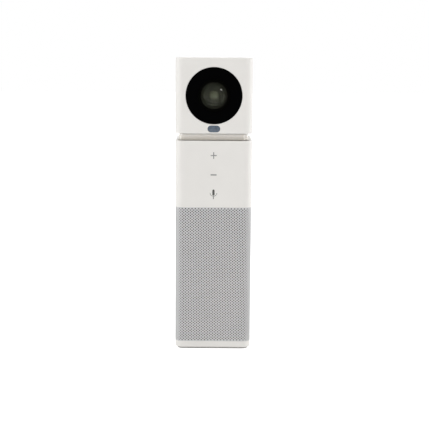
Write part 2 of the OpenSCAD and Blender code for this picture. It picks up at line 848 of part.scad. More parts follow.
// Flat lead from the port board up behind the speaker box to the main board
module power_lead() color("peru") {
  w = lead_w / 2;
  span([-w, port_back, z_lead_low - lead_t], [w, lead_y + lead_t, z_lead_low]);
  span([-w, lead_y, z_lead_low - lead_t], [w, lead_y + lead_t, z_lead_high + lead_t]);
  span([-w, main_back, z_lead_high], [w, lead_y + lead_t, z_lead_high + lead_t]);
}

module pan_bush() color("ivory") rotate_extrude() polygon([
  [spindle_d / 2 + run, z_bush], [spindle_d / 2 + bush_t, z_bush],
  [spindle_d / 2 + bush_t, z_deck - flange_seat], [bush_flange_r, z_deck - flange_seat],
  [bush_flange_r, z_neck - run], [spindle_d / 2 + run, z_neck - run]]);

module friction_washer() color("tan")
  ring(2 * bush_flange_r, spindle_d + 2 * fit, z_bush - washer_t, z_bush);

module pan_spindle() color("silver") difference() {
  union() {
    rod(spindle_d, z_spindle, z_head);
    rod(spindle_flange_d, z_head - spindle_flange_t, z_head);
  }
  rod(spindle_bore, z_spindle - cut, z_head + cut);
  ring(spindle_d + 2 * cut, groove_d, z_clip - fit / 2, z_clip + clip_t + fit / 2);
  spindle_screw_places() rod(small_d + 2 * fit, -plate_screw_l - cut, cut);
}

module spindle_screw_places() for (a = [0:90:180]) rotate(a)
  translate([spindle_screw_c, 0, z_plate]) children();
module bracket_screw_places() for (x = [-1, 1])
  translate([x * bracket_screw_x, front + bracket_back - (bracket_foot + bracket_t) / 2,
    z_plate + bracket_t]) children();

module retaining_clip() color("silver") difference() {
  ring(spindle_d + 2 * clip_reach, groove_d + 2 * fit, z_clip, z_clip + clip_t);
  span([-clip_slot / 2, 0, z_clip - cut], [clip_slot / 2, body_w, z_clip + clip_t + cut]);
}

module stop_pin() color("silver")
  translate([0, -pin_c, 0]) rod(stop_pin_d, z_deck - pin_drop, z_neck + collar_floor);

module neck_collar() color("linen") difference() {
  block(neck_w, collar_r, [[0, z_neck], [(neck_w - neck_top_w) / 2, z_head]]);
  difference() {
    slab(neck_top_w - 2 * collar_wall, collar_r - collar_wall, z_neck + collar_floor, z_head + cut);
    corners(head_boss_c) rod(head_boss_d, z_neck, z_head + cut);
  }
  rod(spindle_d + 2 * fit, z_neck - cut, z_head);
  translate([0, -pin_c, 0]) rod(stop_pin_d, z_neck - cut, z_head);
  corners(head_boss_c) {
    rod(head_screw_d + 2 * fit, z_neck - cut, z_head + cut);
    rod(head_screw_d * head_d_share + 2 * fit, z_neck - cut, z_head_screw);
  }
}

module head_base_plate() color("dimgray") difference() {
  slab(plate_w, plate_r, z_head, z_plate);
  rod(spindle_bore, z_head - cut, z_plate + cut);
  corners(head_boss_c) rod(head_screw_d + 2 * fit, z_head - cut, z_plate + cut);
  spindle_screw_places() rod(small_d + 2 * fit, -plate_t - cut, cut);
  bracket_screw_places() rod(small_d + 2 * fit, -plate_t - bracket_t - cut, cut);
}

module head_screws() color("silver")
  corners(head_boss_c) translate([0, 0, z_head_screw])
    screw(head_screw_d, z_plate + head_boss_h - room - z_head_screw);

module plate_screws() color("silver") {
  spindle_screw_places() screw_down(small_d, plate_screw_l);
  bracket_screw_places() screw_down(small_d, plate_screw_l);
}

module head_shell() color("whitesmoke") difference() {
  union() {
    difference() {
      block(body_w, corner_r, [[edge, z_head], [0, z_head + edge], [0, z_top - edge], [edge, z_top]]);
      slab(head_inner_w, head_inner_r, z_head - cut, z_top - head_wall);
    }
    corner_bosses(head_boss_c, head_boss_d, body_w / 2 - head_wall / 2, z_plate, z_plate + head_boss_h);
  }
  corners(head_boss_c) rod(head_screw_d + 2 * fit, z_head, z_plate + head_boss_h - room + fit);
  inward(z_lens) {
    rod(cover_d + 2 * fit, -cut, cover_seat);
    rod(cover_d - 2 * cover_lip, -cut, head_wall + cut);
  }
  translate([0, 0, z_window]) upright(front - cut, head_wall + 2 * cut) stadium(window_w, window_h);
}

module camera_cover() color("black") inward(z_lens) ring(cover_d, cover_hole_d, cover_sink, cover_seat);

module lens_bezel() color("black") inward(z_lens) rotate_extrude() polygon([
  [cover_hole_d / 2 - fit, bezel_sink], [cover_hole_d / 2 - fit, cover_seat],
  [cover_hole_d / 2 + bezel_lip, cover_seat], [cover_hole_d / 2 + bezel_lip, bezel_back],
  [glass_r + fit, bezel_back], [cover_hole_d / 2 - fit - bezel_edge, bezel_sink]]);

module lens_ring() color("black") inward(z_lens)
  ring(lens_d + 2 * fit, 2 * glass_r, ring_front, lens_rim);

module lens_barrel() color("dimgray") inward(z_lens) rotate_extrude() polygon([
  [lens_d / 2 + fit, ring_front], [barrel_d / 2, ring_front], [barrel_d / 2, barrel_step],
  [barrel_tail_d / 2, barrel_step], [barrel_tail_d / 2, barrel_end],
  [rear_d / 2 - lens_lip, barrel_end],
  [rear_d / 2 - lens_lip, rear_front + small_lens_t], [rear_d / 2 + run, rear_front + small_lens_t],
  [rear_d / 2 + run, middle_front + small_lens_t], [middle_d / 2 + run, middle_front + small_lens_t],
  [middle_d / 2 + run, lens_rim + lens_edge_t], [lens_d / 2 + fit, lens_rim + lens_edge_t]]);

module front_lens() color("darkolivegreen") inward(z_lens) difference() {
  union() {
    intersection() {
      translate([0, 0, lens_rim - dome_h + dome_r]) sphere(dome_r);
      rod(2 * glass_r, lens_rim - dome_h - cut, lens_rim + lens_edge_t / 2);
    }
    rod(lens_d, lens_rim, lens_rim + lens_edge_t);
  }
  translate([0, 0, lens_rim + dome_r]) sphere(dome_r);
}

// A small lens with a bulged front and a flat back
module small_lens(d, z) {
  bulge = small_lens_t / 2;
  r = (d * d / 4 + bulge * bulge) / (2 * bulge);
  intersection() {
    translate([0, 0, z + r]) sphere(r);
    rod(d, z, z + small_lens_t);
  }
}
module middle_lens() color("lightsteelblue") inward(z_lens) small_lens(middle_d, middle_front);
module rear_lens() color("lightsteelblue") inward(z_lens) small_lens(rear_d, rear_front);

module lens_mount() color("dimgray") inward(z_lens) difference() {
  union() {
    rod(mount_d, mount_front, board_deep);
    span([-mount_flange_w / 2, -mount_flange_w / 2, board_deep - mount_flange_t],
      [mount_flange_w / 2, mount_flange_w / 2, board_deep]);
  }
  rod(barrel_tail_d + 2 * fit, mount_front - cut, filter_front);
  rod(filter_d + 2 * fit, mount_front, filter_back);
  rod(filter_d - 2 * filter_seat, mount_front, board_deep + cut);
  span([-sensor_room / 2, -sensor_room / 2, cavity_front],
    [sensor_room / 2, sensor_room / 2, board_deep + cut]);
}

module infrared_filter() color("lightcyan") inward(z_lens) rod(filter_d, filter_front, filter_back);

module image_sensor() color("black") inward(z_lens)
  span([-sensor_w / 2, -sensor_h / 2, board_deep - sensor_t], [sensor_w / 2, sensor_h / 2, board_deep]);

// Pillar places of the camera board
module camera_places() inward(z_lens) corners(camera_post_c) children();

module camera_board() color("darkgreen") {
  difference() {
    inward(z_lens) span([-camera_board_w / 2, -camera_board_w / 2, board_deep],
      [camera_board_w / 2, camera_board_w / 2, board_rear]);
    camera_places() rod(small_d + 2 * fit, board_deep - cut, board_rear + cut);
  }
  inward(z_lens + camera_sink_up)
    span([-chip_w / 2, -chip_w / 2, board_rear], [chip_w / 2, chip_w / 2, board_rear + chip_t]);
  span([-camera_socket_w / 2, front + board_rear, z_socket],
    [camera_socket_w / 2, front + socket_deep, z_socket + camera_socket_h]);
}

module camera_board_screws() color("silver") camera_places() translate([0, 0, board_rear])
  rotate([180, 0, 0]) screw(small_d, camera_screw_l);

module camera_bracket() color("silver") difference() {
  union() {
    span([-bracket_w / 2, front + bracket_front, z_plate],
      [bracket_w / 2, front + bracket_back, z_lens + camera_board_w / 2]);
    span([-bracket_w / 2, front + bracket_back - bracket_foot, z_plate],
      [bracket_w / 2, front + bracket_back, z_plate + bracket_t]);
    camera_places() rod(post_d, bracket_back, board_deep);
  }
  inward(z_lens) rod(mount_d + 2 * fit, bracket_front - cut, bracket_back + cut);
  camera_places() rod(small_d + 2 * fit, bracket_front - cut, board_deep + cut);
  bracket_screw_places() rod(small_d + 2 * fit, -bracket_t - cut, cut);
}

module camera_heat_sink() color("darkslategray") inward(z_lens + camera_sink_up)
  translate([0, 0, board_rear + chip_t]) heat_sink(camera_sink_w, camera_sink_h, fin_h);

module status_window() color("lightslategray") translate([0, 0, z_window])
  upright(front, head_wall) stadium(window_w, window_h);

module status_board() color("darkgreen") {
  y = front + head_wall + status_gap + led_t;
  span([-status_w / 2, y, z_plate], [status_w / 2, y + status_t, z_plate + status_h]);
  span([-led_w / 2, y - led_t, z_plate + led_up], [led_w / 2, y, z_plate + led_up + led_h]);
}

module cable_plug() color("black")
  span([-plug_w / 2, -plug_d / 2, z_plug], [plug_w / 2, plug_d / 2, z_socket]);

foot_pad();
base_cap();
tie_screws();
grille();
grille_cloth();
upper_shell();
volume_up_sign();
volume_down_sign();
microphone_sign();
touch_board();
main_board();
main_heat_sink();
board_screws();
camera_cable();
microphone_board();
microphones();
speaker_box();
speaker_box_cover();
speaker_screws();
speaker_frame();
speaker_magnet();
speaker_yoke();
speaker_spider();
speaker_surround();
speaker_cone();
voice_coil();
dust_cap();
port_panel();
port_board();
usb_socket();
power_switch();
power_button();
power_lead();
pan_bush();
friction_washer();
pan_spindle();
retaining_clip();
stop_pin();
neck_collar();
head_base_plate();
head_screws();
plate_screws();
head_shell();
camera_cover();
lens_bezel();
lens_ring();
lens_barrel();
front_lens();
middle_lens();
rear_lens();
lens_mount();
infrared_filter();
image_sensor();
camera_board();
camera_board_screws();
camera_bracket();
camera_heat_sink();
status_window();
status_board();
cable_plug();
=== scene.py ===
"""Looks of the tabletop conference camera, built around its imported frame."""
import json
import math

import bmesh
import bpy
from mathutils import Matrix, Vector
from mathutils.geometry import tessellate_polygon


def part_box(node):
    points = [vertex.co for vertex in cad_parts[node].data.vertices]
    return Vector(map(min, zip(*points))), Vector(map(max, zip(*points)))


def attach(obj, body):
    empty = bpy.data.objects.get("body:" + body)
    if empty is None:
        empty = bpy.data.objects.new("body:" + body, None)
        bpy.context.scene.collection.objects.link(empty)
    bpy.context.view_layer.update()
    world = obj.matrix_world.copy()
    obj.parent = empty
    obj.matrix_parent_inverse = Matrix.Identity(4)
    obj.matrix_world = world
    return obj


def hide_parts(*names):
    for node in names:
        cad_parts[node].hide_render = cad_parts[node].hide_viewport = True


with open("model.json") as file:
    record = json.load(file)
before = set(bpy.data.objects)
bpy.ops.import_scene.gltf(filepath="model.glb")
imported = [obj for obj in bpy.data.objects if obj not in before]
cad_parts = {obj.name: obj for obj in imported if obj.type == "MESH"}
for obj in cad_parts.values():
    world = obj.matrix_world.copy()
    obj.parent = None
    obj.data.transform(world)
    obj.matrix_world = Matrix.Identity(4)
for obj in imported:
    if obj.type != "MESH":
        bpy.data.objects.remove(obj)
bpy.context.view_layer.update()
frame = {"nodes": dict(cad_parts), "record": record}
nodes = frame["nodes"]
scene = bpy.context.scene
MM = 0.001

# The camera of the photograph, fitted to the tower's upright edges
PHOTO_W = 429
FOCAL_PX = 1083
SENSOR_MM = 36
CAMERA_AT = (1.0 * MM, -932 * MM, 250.7 * MM)
CAMERA_DOWN = 8.49
CAMERA_ROLL = 0.37
CLIP_START = 10 * MM

camera_data = bpy.data.cameras.new("photo_camera")
camera_data.sensor_width = SENSOR_MM
camera_data.lens = SENSOR_MM * FOCAL_PX / PHOTO_W
camera_data.clip_start = CLIP_START
camera = bpy.data.objects.new("photo_camera", camera_data)
camera.location = CAMERA_AT
tilt = Matrix.Rotation(math.radians(90 - CAMERA_DOWN), 4, "X")
roll = Matrix.Rotation(math.radians(CAMERA_ROLL), 4, "Z")
camera.rotation_euler = (tilt @ roll).to_euler()
scene.collection.objects.link(camera)
scene.camera = camera
scene.view_settings.view_transform = "Standard"


# Sizes read from the frame, and those that its source sets
def low(node):
    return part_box(node)[0]


def high(node):
    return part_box(node)[1]


body_w = high("upper_shell").x - low("upper_shell").x
front_y = -body_w / 2
z_base = low("base_cap").z
z_grille = low("grille").z
z_upper = high("grille").z
z_deck = high("upper_shell").z
z_neck = low("neck_collar").z
z_head = low("head_shell").z
z_top = high("head_shell").z
lens_low, lens_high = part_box("camera_cover")
z_lens = (lens_low.z + lens_high.z) / 2
cover_r = (lens_high.x - lens_low.x) / 2
CORNER_R = 6.5 * MM
WALL = 2.2 * MM
FIT = 0.1 * MM

# Segments of round forms, and how their edges are shaded and softened
CORNER_STEPS = 14
FILLET_STEPS = 4
TURN_STEPS = 128
PILL_STEPS = 16
BAR_STEPS = 6
CROSS_STEPS = 5
CUP_STEPS = 24
ARC_STEPS = 20
SMOOTH_DEG = 32
NORMAL_WEIGHT = 80
LEAST_RADIUS = 0.2 * MM
LEAST_COSINE = 0.5
SOFT_SHARE = 0.3


# Node materials

SPECULAR = "Specular IOR Level"

# The usual range of a noise value, and the detail of a grain's noise
NOISE_LOW = 0.3
NOISE_HIGH = 0.7
GRAIN_DETAIL = 2.0

# The painted reflection rings inside the lens, and the patches that break them up
RING_DISTORTION = 2.2
RING_DETAIL = 0.35
PATCH_MM = 2.2
PATCH_RANGE = (0.0, 1.9)


class Paint:
    """A Principled material with helpers that add its procedural detail."""

    def __init__(self, name, color, rough, metallic=0.0):
        self.material = bpy.data.materials.new(name)
        self.material.use_nodes = True
        self.tree = self.material.node_tree
        self.shader = self.tree.nodes["Principled BSDF"]
        self.color = color
        self.rough = rough
        self.set("Base Color", (*color, 1))
        self.set("Roughness", rough)
        self.set("Metallic", metallic)
        coords = self.tree.nodes.new("ShaderNodeTexCoord")
        self.coords = coords.outputs["Object"]
        self.own_box = coords.outputs["Generated"]

    def set(self, socket, value):
        self.shader.inputs[socket].default_value = value

    def link(self, output, target):
        self.tree.links.new(output, target)

    def noise(self, size_mm, detail=3.0, stretch=(1, 1, 1)):
        """Noise whose features are about size_mm across."""
        mapping = self.tree.nodes.new("ShaderNodeMapping")
        mapping.inputs["Scale"].default_value = [s / (size_mm * MM) for s in stretch]
        self.link(self.coords, mapping.inputs["Vector"])
        node = self.tree.nodes.new("ShaderNodeTexNoise")
        node.inputs["Scale"].default_value = 1.0
        node.inputs["Detail"].default_value = detail
        self.link(mapping.outputs["Vector"], node.inputs["Vector"])
        return node.outputs["Fac"]

    def spread(self, value, low_value, high_value):
        """Maps a noise value from its usual range onto another."""
        node = self.tree.nodes.new("ShaderNodeMapRange")
        node.inputs["From Min"].default_value = NOISE_LOW
        node.inputs["From Max"].default_value = NOISE_HIGH
        node.inputs["To Min"].default_value = low_value
        node.inputs["To Max"].default_value = high_value
        self.link(value, node.inputs["Value"])
        return node.outputs["Result"]

    def blend(self, color_a, color_b, factor):
        """Mixes two colours into the base colour."""
        mix = self.tree.nodes.new("ShaderNodeMix")
        mix.data_type = "RGBA"
        mix.inputs["A"].default_value = (*color_a, 1)
        mix.inputs["B"].default_value = (*color_b, 1)
        self.link(factor, mix.inputs["Factor"])
        self.link(mix.outputs["Result"], self.shader.inputs["Base Color"])
        return mix

    def mottle(self, size_mm, amount):
        """Slight lightness variation of the base colour."""
        dark = [c * (1 - amount) for c in self.color]
        light = [min(1.0, c * (1 + amount)) for c in self.color]
        self.blend(dark, light, self.spread(self.noise(size_mm), 0, 1))
        return self

    def vary_rough(self, size_mm, amount):
        value = self.spread(self.noise(size_mm), self.rough - amount, self.rough + amount)
        self.link(value, self.shader.inputs["Roughness"])
        return self

    def bump(self, value, strength, deep_mm):
        node = self.tree.nodes.new("ShaderNodeBump")
        node.inputs["Strength"].default_value = strength
        node.inputs["Distance"].default_value = deep_mm * MM
        self.link(value, node.inputs["Height"])
        self.link(node.outputs["Normal"], self.shader.inputs["Normal"])
        return self

    def from_axis(self, width_mm):
        """Millimetres from the optical axis of a turned piece whose diameter is given."""
        mapping = self.tree.nodes.new("ShaderNodeMapping")
        mapping.inputs["Location"].default_value = (-width_mm / 2, 0, -width_mm / 2)
        mapping.inputs["Scale"].default_value = (width_mm, 0, width_mm)
        self.link(self.own_box, mapping.inputs["Vector"])
        return mapping.outputs["Vector"]

    def fade(self, width_mm, near_mm, far_mm, far_color):
        """Blends a mottled base colour into another with the distance from the axis: painted shade
        that fades the lens's painted reflection into black.
        """
        length = self.tree.nodes.new("ShaderNodeVectorMath")
        length.operation = "LENGTH"
        self.link(self.from_axis(width_mm), length.inputs[0])
        ramp = self.tree.nodes.new("ShaderNodeMapRange")
        ramp.interpolation_type = "SMOOTHSTEP"
        ramp.inputs["From Min"].default_value = near_mm
        ramp.inputs["From Max"].default_value = far_mm
        self.link(length.outputs["Value"], ramp.inputs["Value"])
        near_color = self.shader.inputs["Base Color"].links[0].from_socket
        mix = self.blend(self.color, far_color, ramp.outputs["Result"])
        self.link(near_color, mix.inputs["A"])
        return self

    def rings(self, width_mm, pitch_mm, other_color):
        """Painted reflection rings about the optical axis of a turned piece whose diameter is given.
        """
        wave = self.tree.nodes.new("ShaderNodeTexWave")
        wave.wave_type = "RINGS"
        wave.rings_direction = "Y"
        wave.inputs["Scale"].default_value = math.pi / 10 / pitch_mm
        wave.inputs["Distortion"].default_value = RING_DISTORTION
        wave.inputs["Detail Scale"].default_value = RING_DETAIL
        self.link(self.from_axis(width_mm), wave.inputs["Vector"])
        patchy = self.tree.nodes.new("ShaderNodeMath")
        patchy.operation = "MULTIPLY"
        self.link(wave.outputs["Fac"], patchy.inputs[0])
        self.link(self.spread(self.noise(PATCH_MM), *PATCH_RANGE), patchy.inputs[1])
        self.blend(self.color, other_color, patchy.outputs["Value"])
        return self

    def grain(self, size_mm, strength, deep_mm, stretch=(1, 1, 1)):
        return self.bump(self.noise(size_mm, GRAIN_DETAIL, stretch), strength, deep_mm)


def moulded(name, color, rough=0.42):
    """Satin moulded plastic with a fine spark-eroded grain."""
    paint = Paint(name, color, rough)
    paint.mottle(18, 0.012).vary_rough(6, 0.05).grain(0.22, 0.18, 0.006)
    return paint


def metal(name, color, rough, stretch=(1, 1, 1)):
    paint = Paint(name, color, rough, 1.0)
    paint.mottle(3, 0.06).vary_rough(1.5, 0.08).grain(0.15, 0.2, 0.004, stretch)
    return paint


def soft(name, color, rough=0.75):
    paint = Paint(name, color, rough)
    paint.mottle(2, 0.12).vary_rough(3, 0.06).grain(0.3, 0.35, 0.02)
    return paint


def glassy(name, color):
    paint = Paint(name, color, 0.02)
    paint.set("Transmission Weight", 1.0)
    paint.set("IOR", 1.5)
    paint.grain(4, 0.02, 0.002)
    return paint


# Colours and cell sizes of the boards and the cloth
MASK_GREEN = (0.012, 0.11, 0.05)
MASK_LIGHT = (0.016, 0.15, 0.07)
TRACK_GREEN = (0.03, 0.21, 0.09)
BOARD_CELL = 6 * MM
WEAVE_CELL = 3.2 * MM


def circuit(name):
    """Solder mask over copper tracks."""
    paint = Paint(name, MASK_GREEN, 0.4)
    brick = paint.tree.nodes.new("ShaderNodeTexBrick")
    brick.inputs["Scale"].default_value = 1 / BOARD_CELL
    brick.inputs["Color1"].default_value = (*MASK_GREEN, 1)
    brick.inputs["Color2"].default_value = (*MASK_LIGHT, 1)
    brick.inputs["Mortar"].default_value = (*TRACK_GREEN, 1)
    brick.inputs["Mortar Size"].default_value = 0.03
    paint.link(paint.coords, brick.inputs["Vector"])
    paint.link(brick.outputs["Color"], paint.shader.inputs["Base Color"])
    paint.vary_rough(2, 0.05).bump(brick.outputs["Fac"], 0.3, 0.03)
    return paint


def woven(name, color):
    """Open acoustic cloth with a square weave."""
    paint = Paint(name, color, 0.9)
    wave_sum = paint.tree.nodes.new("ShaderNodeMath")
    wave_sum.operation = "ADD"
    for slot_index, direction in enumerate(("X", "Z")):
        wave = paint.tree.nodes.new("ShaderNodeTexWave")
        wave.bands_direction = direction
        wave.inputs["Scale"].default_value = 1 / WEAVE_CELL
        paint.link(paint.coords, wave.inputs["Vector"])
        paint.link(wave.outputs["Fac"], wave_sum.inputs[slot_index])
    paint.mottle(5, 0.2).bump(wave_sum.outputs["Value"], 0.5, 0.05)
    return paint


WHITE = (0.800, 0.783, 0.755)
# Lit and shaded copies of the neck plastic's colour: painted light at its top, painted shade at its
# foot
NECK_PAINTED_LIT = (0.830, 0.795, 0.745)
NECK_PAINTED_SHADE = (0.430, 0.400, 0.345)
GRILLE_GREY = (0.575, 0.578, 0.582)

paints = {
    "white_plastic": moulded("white_plastic", WHITE),
    "dark_plastic": moulded("dark_plastic", (0.03, 0.03, 0.033), 0.5),
    "satin_black": moulded("satin_black", (0.0015, 0.0015, 0.0017), 0.4),
    "foot_rubber": soft("foot_rubber", (0.45, 0.44, 0.43)),
    "soft_rubber": soft("soft_rubber", (0.02, 0.02, 0.02)),
    "cable_jacket": soft("cable_jacket", (0.03, 0.03, 0.03), 0.6),
    "steel": metal("steel", (0.55, 0.55, 0.56), 0.3),
    "black_metal": metal("black_metal", (0.035, 0.035, 0.038), 0.4),
    "bare_aluminium": metal("bare_aluminium", (0.7, 0.7, 0.71), 0.38, (1, 1, 8)),
    "copper": metal("copper", (0.75, 0.33, 0.18), 0.3, (12, 1, 1)),
    "board_green": circuit("board_green"),
    "magnet_black": soft("magnet_black", (0.025, 0.025, 0.026), 0.55),
    "paper_cone": soft("paper_cone", (0.06, 0.06, 0.06), 0.85),
    "spider_cloth": woven("spider_cloth", (0.45, 0.26, 0.06)),
    "black_cloth": woven("black_cloth", (0.012, 0.012, 0.013)),
    "lead_film": moulded("lead_film", (0.45, 0.22, 0.06), 0.3),
    "bearing_plastic": moulded("bearing_plastic", (0.7, 0.69, 0.64), 0.35),
    "washer_fibre": soft("washer_fibre", (0.32, 0.2, 0.1), 0.8),
    "filter_glass": glassy("filter_glass", (0.6, 0.9, 0.95)),
    "sensor_black": moulded("sensor_black", (0.02, 0.015, 0.04), 0.12),
}

paints["satin_black"].set(SPECULAR, 0.05)


def special(name, color, rough, sockets):
    """Adds a paint to the list, with the sockets that differ from their defaults."""
    paint = Paint(name, color, rough)
    for socket, value in sockets.items():
        paint.set(socket, value)
    paints[name] = paint
    return paint


gloss = special("gloss_black", (0.0006, 0.0006, 0.0008), 0.08, {SPECULAR: 0.008})
gloss.vary_rough(8, 0.03).grain(9, 0.01, 0.002)

# The neck band's colour is darker towards its foot, as painted shade, and light above this share of
# its height, as painted light
NECK_RISE = 0.75
neck_paint = special("neck_plastic", NECK_PAINTED_LIT, 0.25, {
    "Subsurface Weight": 0.5, "Subsurface Radius": (3 * MM, 2.7 * MM, 2.4 * MM),
    "Subsurface Scale": 1.0, "Coat Weight": 0.8, "Coat Roughness": 0.12})
split = neck_paint.tree.nodes.new("ShaderNodeSeparateXYZ")
neck_paint.link(neck_paint.own_box, split.inputs["Vector"])
neck_shade_ramp = neck_paint.tree.nodes.new("ShaderNodeMapRange")
neck_shade_ramp.inputs["From Max"].default_value = NECK_RISE
neck_paint.link(split.outputs["Z"], neck_shade_ramp.inputs["Value"])
neck_paint.blend(NECK_PAINTED_SHADE, NECK_PAINTED_LIT, neck_shade_ramp.outputs["Result"])
neck_paint.vary_rough(5, 0.04).grain(0.25, 0.1, 0.004)

for name, color in (("grey_ink", (0.25, 0.25, 0.245)), ("dark_ink", (0.06, 0.06, 0.055))):
    special(name, color, 0.5, {}).mottle(0.6, 0.08).grain(0.12, 0.2, 0.004)

window_paint = special("slate_window", (0.052, 0.080, 0.122), 0.16, {"Coat Weight": 0.6})
window_paint.mottle(2.2, 0.25).vary_rough(1.5, 0.04).grain(3, 0.03, 0.004)

grille_paint = special("grille_metal", GRILLE_GREY, 0.45, {"Metallic": 0.15})
grille_paint.mottle(14, 0.015).vary_rough(2, 0.05).grain(0.1, 0.15, 0.003)

lens_glass = special("lens_glass", (0.93, 0.95, 0.86), 0.03, {
    "Transmission Weight": 1.0, "IOR": 1.1, SPECULAR: 0.03,
    "Coat Weight": 0.1, "Coat Roughness": 0.05})
lens_glass.grain(12, 0.01, 0.001)

# Paints inside the lens. Their olive tones, lighter rings and light centre are painted reflection of
# the lens elements, fading into black towards the rim as painted shade. The diameters of its turned
# pieces and the pitch of the rings are in mm.
LENS_BLACK = (0.0006, 0.0006, 0.0004)
BEZEL_D = 31.0
SHADE_D = 21.8
BAFFLE_D = 18.8
SECOND_D = 9.8
RING_PITCH = 2.3

# Painted reflection: olive rings on the black baffle
baffle = special("lens_baffle", (0.003, 0.0032, 0.002), 0.45, {SPECULAR: 0.05})
baffle.rings(BAFFLE_D, RING_PITCH, (0.038, 0.040, 0.030)).vary_rough(1.0, 0.08).grain(0.25, 0.2, 0.01)

# Painted reflection on the shade ring, fading into black towards the rim as painted shade
shade_ring = special("lens_shade", (0.024, 0.025, 0.018), 0.5, {SPECULAR: 0.05})
shade_ring.mottle(0.8, 0.2).fade(SHADE_D, 9.3, 12.0, LENS_BLACK)
shade_ring.vary_rough(0.6, 0.08).grain(0.5, 0.1, 0.01)

# The faint edge of the painted reflection on the surround, fading into black outwards as painted shade
surround_paint = special("lens_surround", (0.0016, 0.0016, 0.0012), 0.5, {SPECULAR: 0.004})
surround_paint.mottle(0.8, 0.2).fade(BEZEL_D, 12.05, 13.8, LENS_BLACK)
surround_paint.vary_rough(0.6, 0.08).grain(0.3, 0.1, 0.01)

# Painted reflection on the second element, in rings
second_reflection_paint = special("lens_second_reflection", (0.0065, 0.0068, 0.0045), 0.3, {SPECULAR: 0.1})
second_reflection_paint.rings(SECOND_D, RING_PITCH, (0.040, 0.042, 0.030)).vary_rough(0.6, 0.08).grain(0.5, 0.1, 0.01)

# Painted reflection: the light centre of the lens, on the iris and its pupil
iris = special("lens_iris", (0.060, 0.063, 0.047), 0.3, {SPECULAR: 0.1})
iris.mottle(1.2, 0.4).vary_rough(0.6, 0.08).grain(0.4, 0.15, 0.01)

for entry in frame["record"]["subparts"]:
    cad_mesh = nodes[entry["node"]].data
    cad_mesh.materials.clear()
    cad_mesh.materials.append(paints[entry["material_slot"]].material)


# Mesh helpers

def fillet(inset_a, z_a, inset_b, z_b):
    """Quarter round from (inset_a, z_a) to (inset_b, z_b) that starts upright and ends level."""
    points = []
    for i in range(FILLET_STEPS + 1):
        a = math.pi / 2 * i / FILLET_STEPS
        inset = inset_a + (inset_b - inset_a) * (1 - math.cos(a))
        points.append((inset, z_a + (z_b - z_a) * math.sin(a)))
    return points


def square_ring(width, radius, z):
    """Rounded square at a height, anticlockwise from above."""
    ring = []
    inner = width / 2 - radius
    for quarter, (sx, sy) in enumerate(((1, 1), (-1, 1), (-1, -1), (1, -1))):
        for i in range(CORNER_STEPS + 1):
            a = math.pi / 2 * (quarter + i / CORNER_STEPS)
            ring.append((sx * inner + radius * math.cos(a), sy * inner + radius * math.sin(a), z))
    return ring


def loft(bm, rings, cap_start=True, cap_end=True):
    """Skins a list of rings of equal length, with flat caps or joined end to end."""
    loops = [[bm.verts.new(p) for p in ring] for ring in rings]
    n = len(loops[0])
    for a, b in zip(loops, loops[1:]):
        for i in range(n):
            j = (i + 1) % n
            bm.faces.new((a[i], a[j], b[j], b[i]))
    if cap_start:
        bm.faces.new(list(reversed(loops[0])))
    if cap_end:
        bm.faces.new(loops[-1])


def square_body(bm, width, radius, profile):
    """Closed body whose sides follow [inset, z] points, from its first cap to its last."""
    loft(bm, [square_ring(width - 2 * d, max(radius - d, LEAST_RADIUS), z) for d, z in profile])


def turned(bm, profile):
    """Closed solid of revolution about the optical axis. Profile points are (radius, y)."""
    rings = []
    for r, y in profile:
        if r == 0:
            rings.append([bm.verts.new((0, y, z_lens))])
            continue
        ring = []
        for i in range(TURN_STEPS):
            a = 2 * math.pi * i / TURN_STEPS
            ring.append(bm.verts.new((r * math.cos(a), y, z_lens + r * math.sin(a))))
        rings.append(ring)
    closed = len(rings[0]) > 1 and len(rings[-1]) > 1
    pairs = list(zip(rings, rings[1:]))
    if closed:
        pairs.append((rings[-1], rings[0]))
    for a, b in pairs:
        for i in range(TURN_STEPS):
            j = (i + 1) % TURN_STEPS
            if len(a) == 1:
                bm.faces.new((a[0], b[i], b[j]))
            elif len(b) == 1:
                bm.faces.new((a[i], b[0], a[j]))
            else:
                bm.faces.new((a[i], b[i], b[j], a[j]))


def finish_mesh(name, bm):
    bmesh.ops.recalc_face_normals(bm, faces=bm.faces)
    mesh = bpy.data.meshes.new(name)
    bm.to_mesh(mesh)
    bm.free()
    shade(mesh)
    piece = bpy.data.objects.new(name, mesh)
    scene.collection.objects.link(piece)
    return piece


def shade(mesh):
    mesh.polygons.foreach_set("use_smooth", [True] * len(mesh.polygons))
    mesh.set_sharp_from_angle(angle=math.radians(SMOOTH_DEG))


def weigh_normals(piece):
    """Keeps the flats flat between rounded edges."""
    modifier = piece.modifiers.new("weighted", "WEIGHTED_NORMAL")
    modifier.keep_sharp = True
    modifier.weight = NORMAL_WEIGHT


def cut(piece, cutters):
    """Cuts solids out of a piece and bakes the result into its mesh."""
    for cutter in cutters:
        modifier = piece.modifiers.new("cut", "BOOLEAN")
        modifier.operation = "DIFFERENCE"
        modifier.solver = "EXACT"
        modifier.object = cutter
    graph = bpy.context.evaluated_depsgraph_get()
    result = bpy.data.meshes.new_from_object(piece.evaluated_get(graph))
    piece.modifiers.clear()
    piece.data = result
    for cutter in cutters:
        bpy.data.objects.remove(cutter)
    shade(result)


def fit_out(piece, body, paint, slot, *replaced):
    """Gives a piece its material and its body, and hides the nodes that it stands for; the slot
    argument is not used.
    """
    piece.data.materials.clear()
    piece.data.materials.append(paints[paint].material)
    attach(piece, body)
    if replaced:
        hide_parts(*replaced)


def make_turned(name, profile):
    bm = bmesh.new()
    turned(bm, profile)
    return finish_mesh(name, bm)


def stadium_outline(width, height, steps=PILL_STEPS):
    """Outline of a pill in x and z, anticlockwise seen from the front."""
    r = height / 2
    points = []
    for side in (1, -1):
        for i in range(steps + 1):
            a = -math.pi / 2 + math.pi * i / steps
            points.append((side * (width / 2 - r + r * math.cos(a)), side * r * math.sin(a)))
    return points


